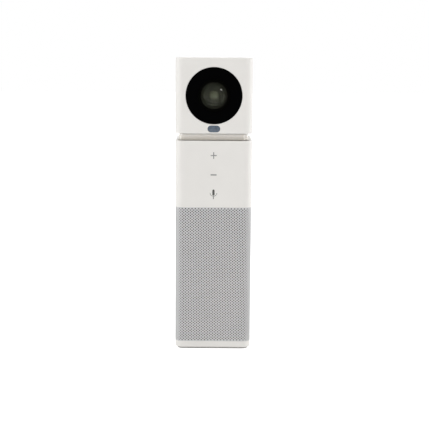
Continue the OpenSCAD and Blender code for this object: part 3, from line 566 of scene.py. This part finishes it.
def prism(bm, outline, z_centre, y_front, y_back, soften=0.0):
    """Upright prism of an outline in x and z between two depths, its front edge softened."""
    layers = [(0.0, y_back), (0.0, y_front + soften)]
    if soften:
        layers.append((soften * SOFT_SHARE, y_front + soften * SOFT_SHARE))
        layers.append((soften, y_front))
    rings = []
    for inset, y in layers:
        rings.append([(x, y, z_centre + z) for x, z in inset_outline(outline, inset)])
    loft(bm, rings)


def inset_outline(outline, inset):
    """Moves each point of a closed outline inwards along its corner's bisector."""
    if not inset:
        return outline
    result = []
    n = len(outline)
    for i in range(n):
        before, here, after = (Vector(outline[(i + k) % n]) for k in (-1, 0, 1))
        a = (here - before).normalized()
        b = (after - here).normalized()
        left_a = Vector((-a.y, a.x))
        left_b = Vector((-b.y, b.x))
        bisector = (left_a + left_b).normalized()
        stretch = 1 / max(LEAST_COSINE, bisector.dot(left_a))
        result.append(tuple(here + bisector * inset * stretch))
    return result


# Head casing

HEAD_WALL = 2.4 * MM
HEAD_EDGE = 0.9 * MM
HEAD_FOOT_EDGE = 0.2 * MM
SEAT_DEEP = 1.8 * MM
SEAT_LIP = 2.5 * MM
MOUTH_EDGE = 0.25 * MM
OVERRUN = 2 * MM

head_profile = [(HEAD_WALL, z_top - HEAD_WALL), (HEAD_WALL, z_head)]
head_profile += list(reversed(fillet(0, z_head + HEAD_FOOT_EDGE, HEAD_FOOT_EDGE, z_head)))
head_profile += fillet(0, z_top - HEAD_EDGE, HEAD_EDGE, z_top)
bm = bmesh.new()
square_body(bm, body_w, CORNER_R, head_profile)
head_casing = finish_mesh("head_casing", bm)

mouth = [
    (0, front_y - OVERRUN), (cover_r + FIT + MOUTH_EDGE + OVERRUN, front_y - OVERRUN),
    (cover_r + FIT, front_y + MOUTH_EDGE), (cover_r + FIT, front_y + SEAT_DEEP),
    (cover_r - SEAT_LIP, front_y + SEAT_DEEP), (cover_r - SEAT_LIP, front_y + 2 * HEAD_WALL),
    (0, front_y + 2 * HEAD_WALL)]
mouth_cutter = make_turned("mouth_cutter", mouth)
window_low, window_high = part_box("status_window")
window_w = window_high.x - window_low.x
window_h = window_high.z - window_low.z
z_window = (window_low.z + window_high.z) / 2
bm = bmesh.new()
prism(bm, stadium_outline(window_w, window_h), z_window, front_y - MM, front_y + 2 * HEAD_WALL)
window_cutter = finish_mesh("window_cutter", bm)
cut(head_casing, [mouth_cutter, window_cutter])
weigh_normals(head_casing)
fit_out(head_casing, "head", "white_plastic", "white_plastic", "head_shell")

# Status window: a smoked lens over a small light bar
WINDOW_SINK = 0.12 * MM
WINDOW_PLAY = 0.06 * MM
WINDOW_EDGE = 0.2 * MM
bm = bmesh.new()
prism(bm, stadium_outline(window_w - WINDOW_PLAY, window_h - WINDOW_PLAY), z_window,
      front_y + WINDOW_SINK, front_y + HEAD_WALL, WINDOW_EDGE)
status_window = finish_mesh("status_light_window", bm)
fit_out(status_window, "head", "slate_window", "slate_window", "status_window")

# Black cover disc and the lens behind it
COVER_EDGE = 0.25 * MM
cover_front = lens_low.y
cover_back = lens_high.y
LENS_GAP = 1.5 * MM
hole_r = (high("front_lens").x - low("front_lens").x) / 2 + LENS_GAP
soft_edge = COVER_EDGE * SOFT_SHARE
cover_profile = [
    (hole_r, cover_back), (hole_r, cover_front + COVER_EDGE),
    (hole_r + soft_edge, cover_front + soft_edge), (hole_r + COVER_EDGE, cover_front),
    (cover_r - COVER_EDGE, cover_front), (cover_r - soft_edge, cover_front + soft_edge),
    (cover_r, cover_front + COVER_EDGE), (cover_r, cover_back)]
cover = make_turned("round_cover", cover_profile)
weigh_normals(cover)
fit_out(cover, "head", "gloss_black", "gloss_black", "camera_cover")

# Stepped bezel that leads into the lens
bezel_low, bezel_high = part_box("lens_bezel")
bezel_front, bezel_back = bezel_low.y, bezel_high.y
bezel_r = (bezel_high.x - bezel_low.x) / 2
BEZEL_MOUTH = 12.8 * MM
BEZEL_THROAT = 11.1 * MM
BEZEL_STEPS = 6
BEZEL_DRAFT = 0.2
BEZEL_TREAD = 0.8
bezel_profile = [(hole_r - FIT, cover_back), (hole_r - FIT, bezel_front)]
step_r = (BEZEL_MOUTH - BEZEL_THROAT) / BEZEL_STEPS
step_y = (bezel_back - bezel_front) / BEZEL_STEPS
for i in range(BEZEL_STEPS):
    bezel_profile.append((BEZEL_MOUTH - i * step_r, bezel_front + i * step_y))
    step_end_r = BEZEL_MOUTH - (i + BEZEL_DRAFT) * step_r
    bezel_profile.append((step_end_r, bezel_front + (i + BEZEL_TREAD) * step_y))
bezel_profile += [(BEZEL_THROAT, bezel_back), (bezel_r, bezel_back), (bezel_r, cover_back)]
bezel = make_turned("lens_surround", bezel_profile)
fit_out(bezel, "head", "lens_surround", "satin_black", "lens_bezel")


def arc_profile(r_from, r_to, y_at_axis, radius, steps=ARC_STEPS):
    """Points of a sphere's cap between two radii, bulging to the front."""
    points = []
    for i in range(steps + 1):
        r = r_from + (r_to - r_from) * i / steps
        points.append((r, y_at_axis + radius - math.sqrt(radius * radius - r * r)))
    return points


# Front element: a deep meniscus of coated glass
glass_low, glass_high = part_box("front_lens")
dome_front = glass_low.y
glass_r = (glass_high.x - glass_low.x) / 2
DOME_R = 22.31 * MM
DOME_RIM = 11 * MM
GLASS_T = 1.6 * MM
RIM_T = 2.4 * MM
INNER_RIM = DOME_RIM - 1.2 * MM
outer_arc = arc_profile(0, DOME_RIM, dome_front, DOME_R)
rim_y = outer_arc[-1][1]
inner_arc = arc_profile(INNER_RIM, 0, dome_front + GLASS_T, DOME_R - GLASS_T)
dome_rim = [(glass_r, rim_y), (glass_r, rim_y + RIM_T), (INNER_RIM, rim_y + RIM_T)]
dome_profile = outer_arc + dome_rim + inner_arc
dome = make_turned("lens_dome", dome_profile)
fit_out(dome, "head", "lens_glass", "lens_glass", "front_lens")

# Inside of the lens: stepped shade and baffle rings, a second element and the iris
def stepped(r_out, y_out, r_in, y_in, steps, dip):
    """Profile of a cone cut into steps, each with a short lip."""
    points = [(r_out, y_out)]
    for i in range(1, steps + 1):
        share = i / steps
        r = r_out + (r_in - r_out) * share
        y = y_out + (y_in - y_out) * share
        points += [(r + dip, y - dip), (r, y)]
    return points


INNER_BACK = rim_y + RIM_T
SHADE_STEPS = 3
BAFFLE_STEPS = 6
IRIS_R = 3.4 * MM
PUPIL_R = IRIS_R * 0.8
SECOND_R = SECOND_D / 2 * MM
BAFFLE_R = BAFFLE_D / 2 * MM
SHADE_R = SHADE_D / 2 * MM
SHADE_FRONT = rim_y + 0.5 * MM
SHADE_DEEP = 0.2 * MM
RINGS_DEEP = 1.0 * MM
SHADE_DIP = 0.1 * MM
RINGS_DIP = 0.22 * MM
second_front = rim_y + 0.9 * MM
SECOND_CURVE = 14 * MM
IRIS_RISE = 0.12 * MM
PUPIL_RISE = 0.06 * MM
iris_back = second_front + 0.6 * MM

shade_rings = stepped(SHADE_R, SHADE_FRONT, BAFFLE_R, SHADE_FRONT + SHADE_DEEP,
                      SHADE_STEPS, SHADE_DIP)
lens_shade = make_turned("lens_shade", shade_rings + [(BAFFLE_R, INNER_BACK), (SHADE_R, INNER_BACK)])
fit_out(lens_shade, "head", "lens_shade", "satin_black")
mid_rings = stepped(BAFFLE_R, SHADE_FRONT, SECOND_R, SHADE_FRONT + RINGS_DEEP,
                    BAFFLE_STEPS, RINGS_DIP)
lens_rings = make_turned("lens_rings", mid_rings + [(SECOND_R, INNER_BACK), (BAFFLE_R, INNER_BACK)])
fit_out(lens_rings, "head", "lens_baffle", "satin_black")
second_profile = arc_profile(0, SECOND_R, second_front, SECOND_CURVE)
second = make_turned("lens_second_element", second_profile + [(SECOND_R, INNER_BACK), (0, INNER_BACK)])
fit_out(second, "head", "lens_second_reflection", "satin_black")
iris_ring = arc_profile(IRIS_R, PUPIL_R, second_front - IRIS_RISE, SECOND_CURVE, steps=3)
iris_ring += [(PUPIL_R, iris_back), (IRIS_R, iris_back)]
lens_iris = make_turned("lens_iris_ring", iris_ring)
fit_out(lens_iris, "head", "lens_iris", "satin_black")
pupil = arc_profile(0, PUPIL_R, second_front - PUPIL_RISE, SECOND_CURVE, steps=6)
pupil += [(PUPIL_R, iris_back), (0, iris_back)]
lens_pupil = make_turned("lens_pupil", pupil)
fit_out(lens_pupil, "head", "lens_iris", "satin_black")

# Upper shell with its touch signs let into the front
UPPER_EDGE = 0.6 * MM
DECK_T = 4 * MM
RIM_IN = 1.25 * MM
RIM_H = 3 * MM
SEAM_UPPER = 0.12 * MM
upper_profile = [(WALL, z_deck - DECK_T), (WALL, z_upper - RIM_H), (RIM_IN, z_upper - RIM_H),
                 (RIM_IN, z_upper), (SEAM_UPPER, z_upper), (0, z_upper + SEAM_UPPER)]
upper_profile += fillet(0, z_deck - UPPER_EDGE, UPPER_EDGE, z_deck)
bm = bmesh.new()
square_body(bm, body_w, CORNER_R, upper_profile)
upper = finish_mesh("upper_casing", bm)

SIGN_DEEP = 0.6 * MM
SIGN_W = 5.2 * MM
SIGN_STROKE = 0.85 * MM
MINUS_STROKE = SIGN_STROKE * 1.3
PLUS_H = SIGN_W * 1.1
STAND_H = SIGN_W * 0.42


def bar_outline(length, thick):
    return stadium_outline(length, thick, BAR_STEPS)


def turned_outline(outline):
    return [(-z, x) for x, z in outline]


def cross_outline(length, tall, thick):
    """Plus sign with rounded ends."""
    r = thick / 2
    outline = []
    for quarter in range(4):
        reach = (length if quarter % 2 == 0 else tall) / 2 - r
        a0 = math.pi / 2 * quarter
        along = Vector((math.cos(a0), math.sin(a0)))
        across = Vector((-math.sin(a0), math.cos(a0)))
        for i in range(CROSS_STEPS + 1):
            a = -math.pi / 2 + math.pi * i / CROSS_STEPS
            outline.append(tuple(along * (reach + r * math.cos(a)) + across * r * math.sin(a)))
        outline.append(tuple(along * r + across * r))
    return outline


def cup_outline(radius, thick, drop):
    """Half ring, open at the top, with its stand below it."""
    outer = []
    inner = []
    for i in range(CUP_STEPS + 1):
        a = math.pi + math.pi * i / CUP_STEPS
        outer.append((radius * math.cos(a), -drop + radius * math.sin(a)))
        inner.append(((radius - thick) * math.cos(a), -drop + (radius - thick) * math.sin(a)))
    half = SIGN_STROKE / 2
    root_z = -drop - radius * math.cos(math.asin(half / radius))
    foot_z = -drop - radius - STAND_H
    stand = [(-half, root_z), (-half, foot_z), (half, foot_z), (half, root_z)]
    left = [point for point in outer if point[0] < -half]
    right = [point for point in outer if point[0] > half]
    return left + stand + right + list(reversed(inner))


z_plus = (low("volume_up_sign").z + high("volume_up_sign").z) / 2
z_minus = (low("volume_down_sign").z + high("volume_down_sign").z) / 2
z_mic_top = high("microphone_sign").z
MIC_W = SIGN_W * 0.37
MIC_H = SIGN_W
CUP_R = SIGN_W * 1.17 / 2
CUP_STROKE = 0.5 * MM
CUP_DROP = 0.29 * MM
z_mic = z_mic_top - MIC_H / 2
signs = [
    ("plus_sign", cross_outline(SIGN_W, PLUS_H, SIGN_STROKE), z_plus, "grey_ink", "volume_up_sign"),
    ("minus_sign", bar_outline(SIGN_W, MINUS_STROKE), z_minus, "grey_ink", "volume_down_sign"),
    ("microphone_capsule", turned_outline(bar_outline(MIC_H, MIC_W)), z_mic, "dark_ink",
     "microphone_sign"),
    ("microphone_cup", cup_outline(CUP_R, CUP_STROKE, CUP_DROP), z_mic, "grey_ink", "microphone_sign"),
]
SIGN_SINK = 0.03 * MM
cutters = []
for name, outline, z_sign, paint, node in signs:
    bm = bmesh.new()
    prism(bm, outline, z_sign, front_y - MM, front_y + SIGN_DEEP)
    cutters.append(finish_mesh(name + "_cutter", bm))
cut(upper, cutters)
weigh_normals(upper)
fit_out(upper, "tower", "white_plastic", "white_plastic", "upper_shell")
for name, outline, z_sign, paint, node in signs:
    bm = bmesh.new()
    prism(bm, outline, z_sign, front_y + SIGN_SINK, front_y + SIGN_DEEP)
    sign = finish_mesh(name, bm)
    fit_out(sign, "tower", paint, "grey_ink", node)

# Neck collar, flared towards its foot
NECK_EDGE = 0.3 * MM
neck_w = high("neck_collar").x - low("neck_collar").x
NECK_TOP_IN = 1.1 * MM
NECK_R = 5.5 * MM
neck_foot = list(reversed(fillet(0, z_neck + NECK_EDGE, NECK_EDGE, z_neck)))
neck_profile = neck_foot + [(NECK_TOP_IN, z_head)]
bm = bmesh.new()
square_body(bm, neck_w, NECK_R, neck_profile)
neck = finish_mesh("neck_band", bm)
weigh_normals(neck)
fit_out(neck, "head", "neck_plastic", "neck_plastic", "neck_collar")

# Base cap and foot pad
BASE_EDGE = 0.9 * MM
FLOOR_SINK = 0.5 * MM
SEAM_BASE = 0.1 * MM
pad_low, pad_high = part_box("foot_pad")
pad_w = pad_high.x - pad_low.x
pad_r = CORNER_R - (body_w - pad_w) / 2
pad_seat = (body_w - pad_w) / 2 - FIT
base_profile = [(WALL, z_grille - FLOOR_SINK), (WALL, z_grille + RIM_H), (RIM_IN, z_grille + RIM_H),
                (RIM_IN, z_grille), (SEAM_BASE, z_grille), (0, z_grille - SEAM_BASE)]
base_profile += fillet(0, z_base + BASE_EDGE, BASE_EDGE, z_base)
base_profile += [(pad_seat, z_base), (pad_seat, pad_high.z)]
bm = bmesh.new()
square_body(bm, body_w, CORNER_R, base_profile)
base = finish_mesh("base_band", bm)
weigh_normals(base)
fit_out(base, "tower", "white_plastic", "white_plastic", "base_cap")

PAD_EDGE = 0.35 * MM
pad_profile = list(reversed(fillet(0, PAD_EDGE, PAD_EDGE, 0))) + [(0, pad_high.z)]
bm = bmesh.new()
square_body(bm, pad_w, pad_r, pad_profile)
pad = finish_mesh("rubber_foot", bm)
weigh_normals(pad)
fit_out(pad, "tower", "foot_rubber", "foot_rubber", "foot_pad")

# Perforated grille, wrapped round the tower from a flat pattern of staggered holes
HOLE_R = 0.575 * MM
GRILLE_T = 0.8 * MM
HALF_PITCH = 1.37 * MM
HALF_RISE = 1.158 * MM
PLAIN_EDGE = 0.05 * MM
HOLE_STEPS = 12
flat = body_w - 2 * CORNER_R
arc = math.pi / 2 * CORNER_R
girth = 4 * (flat + arc)
columns = 2 * round(girth / (2 * HALF_PITCH))
rows = 2 * round((z_upper - z_grille - 2 * PLAIN_EDGE) / (2 * HALF_RISE))
column_w = girth / columns
row_h = (z_upper - z_grille - 2 * PLAIN_EDGE) / rows
quarter_columns = math.ceil((flat / 2 + arc) / column_w)
half_columns = columns // 2


def wrap(s, depth):
    """Point at arc length s round the grille from the middle of its front, depth below its face."""
    side = math.floor((s + flat / 2) / (flat + arc))
    along = s + flat / 2 - side * (flat + arc)
    if along <= flat:
        x, y = along - flat / 2, -body_w / 2 + depth
    else:
        a = (along - flat) / CORNER_R
        x = flat / 2 + (CORNER_R - depth) * math.sin(a)
        y = -flat / 2 - (CORNER_R - depth) * math.cos(a)
    turn = side % 4
    for _ in range(turn):
        x, y = -y, x
    return x, y


def row_z(j):
    return z_grille + PLAIN_EDGE + j * row_h


def grille_piece(name, first, last, notch=None):
    """Sheet of diamond cells from one column to another, each with its round hole."""
    flat_points = []
    index = {}

    def point(key, s, z):
        if key not in index:
            index[key] = len(flat_points)
            flat_points.append((s, z))
        return index[key]

    def grid(i, j):
        return point(("grid", i, j), i * column_w, row_z(j))

    def border(i, top):
        return point(("border", i, top), i * column_w, z_upper if top else z_grille)

    def kept(i, j):
        if notch is None:
            return True
        middle, reach, tall = notch
        return abs(i - middle) > reach or j > tall

    faces = []
    for i in range(first, last):
        for j in range(1, rows):
            if (i + j) % 2 or not kept(i, j):
                continue
            corners = [grid(i + 1, j), grid(i, j + 1), grid(i - 1, j), grid(i, j - 1)]
            rim = []
            for k in range(HOLE_STEPS):
                a = 2 * math.pi * k / HOLE_STEPS
                s, z = i * column_w + HOLE_R * math.cos(a), row_z(j) + HOLE_R * math.sin(a)
                rim.append(point(("rim", i, j, k), s, z))
            for q in range(4):
                a, b = corners[q], corners[(q + 1) % 4]
                h = [rim[(3 * q + k) % HOLE_STEPS] for k in range(4)]
                faces += [(a, h[1], h[0]), (a, b, h[1]), (b, h[2], h[1]), (b, h[3], h[2])]
    for top in (False, True):
        edge_j = rows if top else 0
        near_j = rows - 1 if top else 1

        def tooth(i):
            return grid(i, edge_j) if (i + edge_j) % 2 else grid(i, near_j)

        for i in range(first - 1, last - 1):
            if not top and notch is not None and abs(i + 0.5 - notch[0]) < notch[1]:
                continue
            quad = (border(i, top), border(i + 1, top), tooth(i + 1), tooth(i))
            faces.append(tuple(reversed(quad)) if top else quad)
    if notch is not None:
        middle, reach, tall = notch
        outline = [border(middle - reach, False)]
        side_nodes = []
        for j in range(1, tall + 1):
            i = middle - reach if (middle - reach - 1 + j) % 2 == 0 else middle - reach - 1
            side_nodes.append((i, j))
        top_nodes = []
        for i in range(middle - reach, middle + reach + 1):
            top_nodes.append((i, tall) if (i + tall) % 2 else (i, tall + 1))
        mirrored = [(2 * middle - i, j) for i, j in reversed(side_nodes)]
        seen = []
        for node in side_nodes + top_nodes + mirrored:
            if node not in seen:
                seen.append(node)
        outline += [grid(*node) for node in seen]
        outline.append(border(middle + reach, False))
        s_mid = middle * column_w
        half_w = NOTCH_W / 2
        corner = []
        for k in range(NOTCH_STEPS + 1):
            a = math.pi / 2 * k / NOTCH_STEPS
            x = half_w - NOTCH_R + NOTCH_R * math.cos(a)
            corner.append((x, NOTCH_TOP - NOTCH_R + NOTCH_R * math.sin(a)))
        inside = [(half_w, z_grille)] + corner
        inside += [(-x, z) for x, z in reversed(inside)]
        for k, (x, z) in enumerate(inside):
            outline.append(point(("notch", k), s_mid + x, z))
        triangles = tessellate_polygon([[Vector((*flat_points[v], 0)) for v in outline]])
        for t in triangles:
            a, b, c = (outline[k] for k in t)
            pa, pb, pc = (Vector(flat_points[v]) for v in (a, b, c))
            if (pb - pa).cross(pc - pa) < 0:
                b, c = c, b
            faces.append((a, b, c))

    count = len(flat_points)
    edges = {}
    for face in faces:
        for a, b in zip(face, face[1:] + face[:1]):
            edges[(a, b)] = edges.get((a, b), 0) + 1
    walls = [(b, a, a + count, b + count) for (a, b) in edges if (b, a) not in edges]
    outer = [(*wrap(s, 0), z) for s, z in flat_points]
    inner = [(*wrap(s, GRILLE_T), z) for s, z in flat_points]
    back_faces = [tuple(v + count for v in reversed(face)) for face in faces]
    mesh = bpy.data.meshes.new(name)
    mesh.from_pydata(outer + inner, [], faces + back_faces + walls)
    mesh.update()
    shade(mesh)
    piece = bpy.data.objects.new(name, mesh)
    scene.collection.objects.link(piece)
    fit_out(piece, "tower", "grille_metal", "grille_metal", "grille")


# The notch round the port panel's face, and the cells that are left out beside it
PANEL_W = 30 * MM
PANEL_R = 3 * MM
PANEL_FLANGE = 2 * MM
panel_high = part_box("port_panel")[1]
NOTCH_W = PANEL_W + 2 * FIT
NOTCH_R = PANEL_R + FIT
NOTCH_TOP = panel_high.z - PANEL_FLANGE + FIT
NOTCH_STEPS = 8
NOTCH_REACH = 13
NOTCH_ROWS = 24
grille_piece("grille_front", -quarter_columns, quarter_columns)
grille_piece("grille_right", quarter_columns, half_columns - quarter_columns)
grille_piece("grille_back", half_columns - quarter_columns, half_columns + quarter_columns,
             (half_columns, NOTCH_REACH, NOTCH_ROWS))
grille_piece("grille_left", half_columns + quarter_columns, columns - quarter_columns)

# Black cloth behind the holes, from rim to rim
CLOTH_OUT = 0.83 * MM
CLOTH_IN = 1.17 * MM
CLOTH_END = 0.05 * MM
WELD = 0.001 * MM
bm = bmesh.new()
rings = [square_ring(body_w - 2 * d, CORNER_R - d, z) for d, z in (
    (CLOTH_IN, z_grille + CLOTH_END), (CLOTH_OUT, z_grille + CLOTH_END),
    (CLOTH_OUT, z_upper - CLOTH_END), (CLOTH_IN, z_upper - CLOTH_END))]
loft(bm, rings + rings[:1], False, False)
bmesh.ops.remove_doubles(bm, verts=bm.verts, dist=WELD)
cloth = finish_mesh("cloth_sleeve", bm)
bm = bmesh.new()
half = NOTCH_W / 2 + FIT
loft(bm, [[(-half, y, 0), (half, y, 0), (half, y, NOTCH_TOP + FIT), (-half, y, NOTCH_TOP + FIT)]
          for y in (body_w / 4, body_w)])
port_cutter = finish_mesh("port_cutter", bm)
cut(cloth, [port_cutter])
fit_out(cloth, "tower", "black_cloth", "black_cloth", "grille_cloth")

for name in ("port_panel", "power_button", "usb_socket"):
    shade(nodes[name].data)


# Floor, backdrop and lights

def seen_ray(tree):
    """1 for the rays in which the background is seen, straight, mirrored or through glass."""
    path = tree.nodes.new("ShaderNodeLightPath")
    seen = path.outputs["Is Camera Ray"]
    for ray in ("Is Glossy Ray", "Is Transmission Ray"):
        larger = tree.nodes.new("ShaderNodeMath")
        larger.operation = "MAXIMUM"
        tree.links.new(seen, larger.inputs[0])
        tree.links.new(path.outputs[ray], larger.inputs[1])
        seen = larger.outputs["Value"]
    return seen


AIM = (0, 0, 0.13)
FLOOR_HALF = 6.0
FLOOR_COLOR = (0.94, 0.94, 0.94)
FLOOR_GLOW = 0.65
FILL_COLOR = (1.0, 0.995, 0.985)
FILL_STRENGTH = 0.47
floor_mesh = bpy.data.meshes.new("floor")
floor_mesh.from_pydata([(-FLOOR_HALF, -FLOOR_HALF, 0), (FLOOR_HALF, -FLOOR_HALF, 0),
                        (FLOOR_HALF, FLOOR_HALF, 0), (-FLOOR_HALF, FLOOR_HALF, 0)], [], [(0, 1, 2, 3)])
floor = bpy.data.objects.new("floor", floor_mesh)
scene.collection.objects.link(floor)

floor_material = bpy.data.materials.new("floor_white")
floor_material.use_nodes = True
floor_tree = floor_material.node_tree
floor_tree.nodes.clear()
floor_out = floor_tree.nodes.new("ShaderNodeOutputMaterial")
floor_diffuse = floor_tree.nodes.new("ShaderNodeBsdfDiffuse")
floor_diffuse.inputs["Color"].default_value = (*FLOOR_COLOR, 1)
floor_glow = floor_tree.nodes.new("ShaderNodeEmission")
floor_glow.inputs["Color"].default_value = (1, 1, 1, 1)
floor_glow.inputs["Strength"].default_value = FLOOR_GLOW
floor_add = floor_tree.nodes.new("ShaderNodeAddShader")
floor_mix = floor_tree.nodes.new("ShaderNodeMixShader")
floor_links = floor_tree.links
floor_links.new(floor_diffuse.outputs[0], floor_add.inputs[0])
floor_links.new(floor_glow.outputs[0], floor_add.inputs[1])
floor_links.new(seen_ray(floor_tree), floor_mix.inputs["Fac"])
floor_links.new(floor_diffuse.outputs[0], floor_mix.inputs[1])
floor_links.new(floor_add.outputs[0], floor_mix.inputs[2])
floor_links.new(floor_mix.outputs[0], floor_out.inputs["Surface"])
floor_mesh.materials.append(floor_material)

world = bpy.data.worlds.new("studio")
scene.world = world
world.use_nodes = True
world_tree = world.node_tree
world_tree.nodes.clear()
world_out = world_tree.nodes.new("ShaderNodeOutputWorld")
world_seen = world_tree.nodes.new("ShaderNodeBackground")
world_seen.inputs["Color"].default_value = (1, 1, 1, 1)
world_seen.inputs["Strength"].default_value = 1.0
world_fill = world_tree.nodes.new("ShaderNodeBackground")
world_fill.inputs["Color"].default_value = (*FILL_COLOR, 1)
world_fill.inputs["Strength"].default_value = FILL_STRENGTH
world_mix = world_tree.nodes.new("ShaderNodeMixShader")
world_links = world_tree.links
world_links.new(seen_ray(world_tree), world_mix.inputs["Fac"])
world_links.new(world_fill.outputs[0], world_mix.inputs[1])
world_links.new(world_seen.outputs[0], world_mix.inputs[2])
world_links.new(world_mix.outputs[0], world_out.inputs["Surface"])


def softbox(name, at, size, power):
    """Area lamp at a place, turned to the middle of the tower."""
    data = bpy.data.lights.new(name, "AREA")
    data.shape = "RECTANGLE"
    data.size, data.size_y = size
    data.energy = power
    lamp = bpy.data.objects.new(name, data)
    lamp.location = at
    lamp.rotation_euler = (Vector(AIM) - Vector(at)).to_track_quat("-Z", "Y").to_euler()
    scene.collection.objects.link(lamp)


softbox("left_softbox", (-1.25, -0.2, 0.35), (0.9, 1.1), 8.0)
softbox("right_softbox", (1.2, 0.3, 0.35), (0.9, 1.1), 6.0)
softbox("top_softbox", (0.0, -0.3, 1.25), (0.9, 0.9), 3.0)
softbox("key_light", (0.707, -1.089, 0.74), (0.3, 0.3), 4.1)
softbox("back_softbox", (-0.2, 1.3, 0.5), (0.9, 0.9), 2.2)
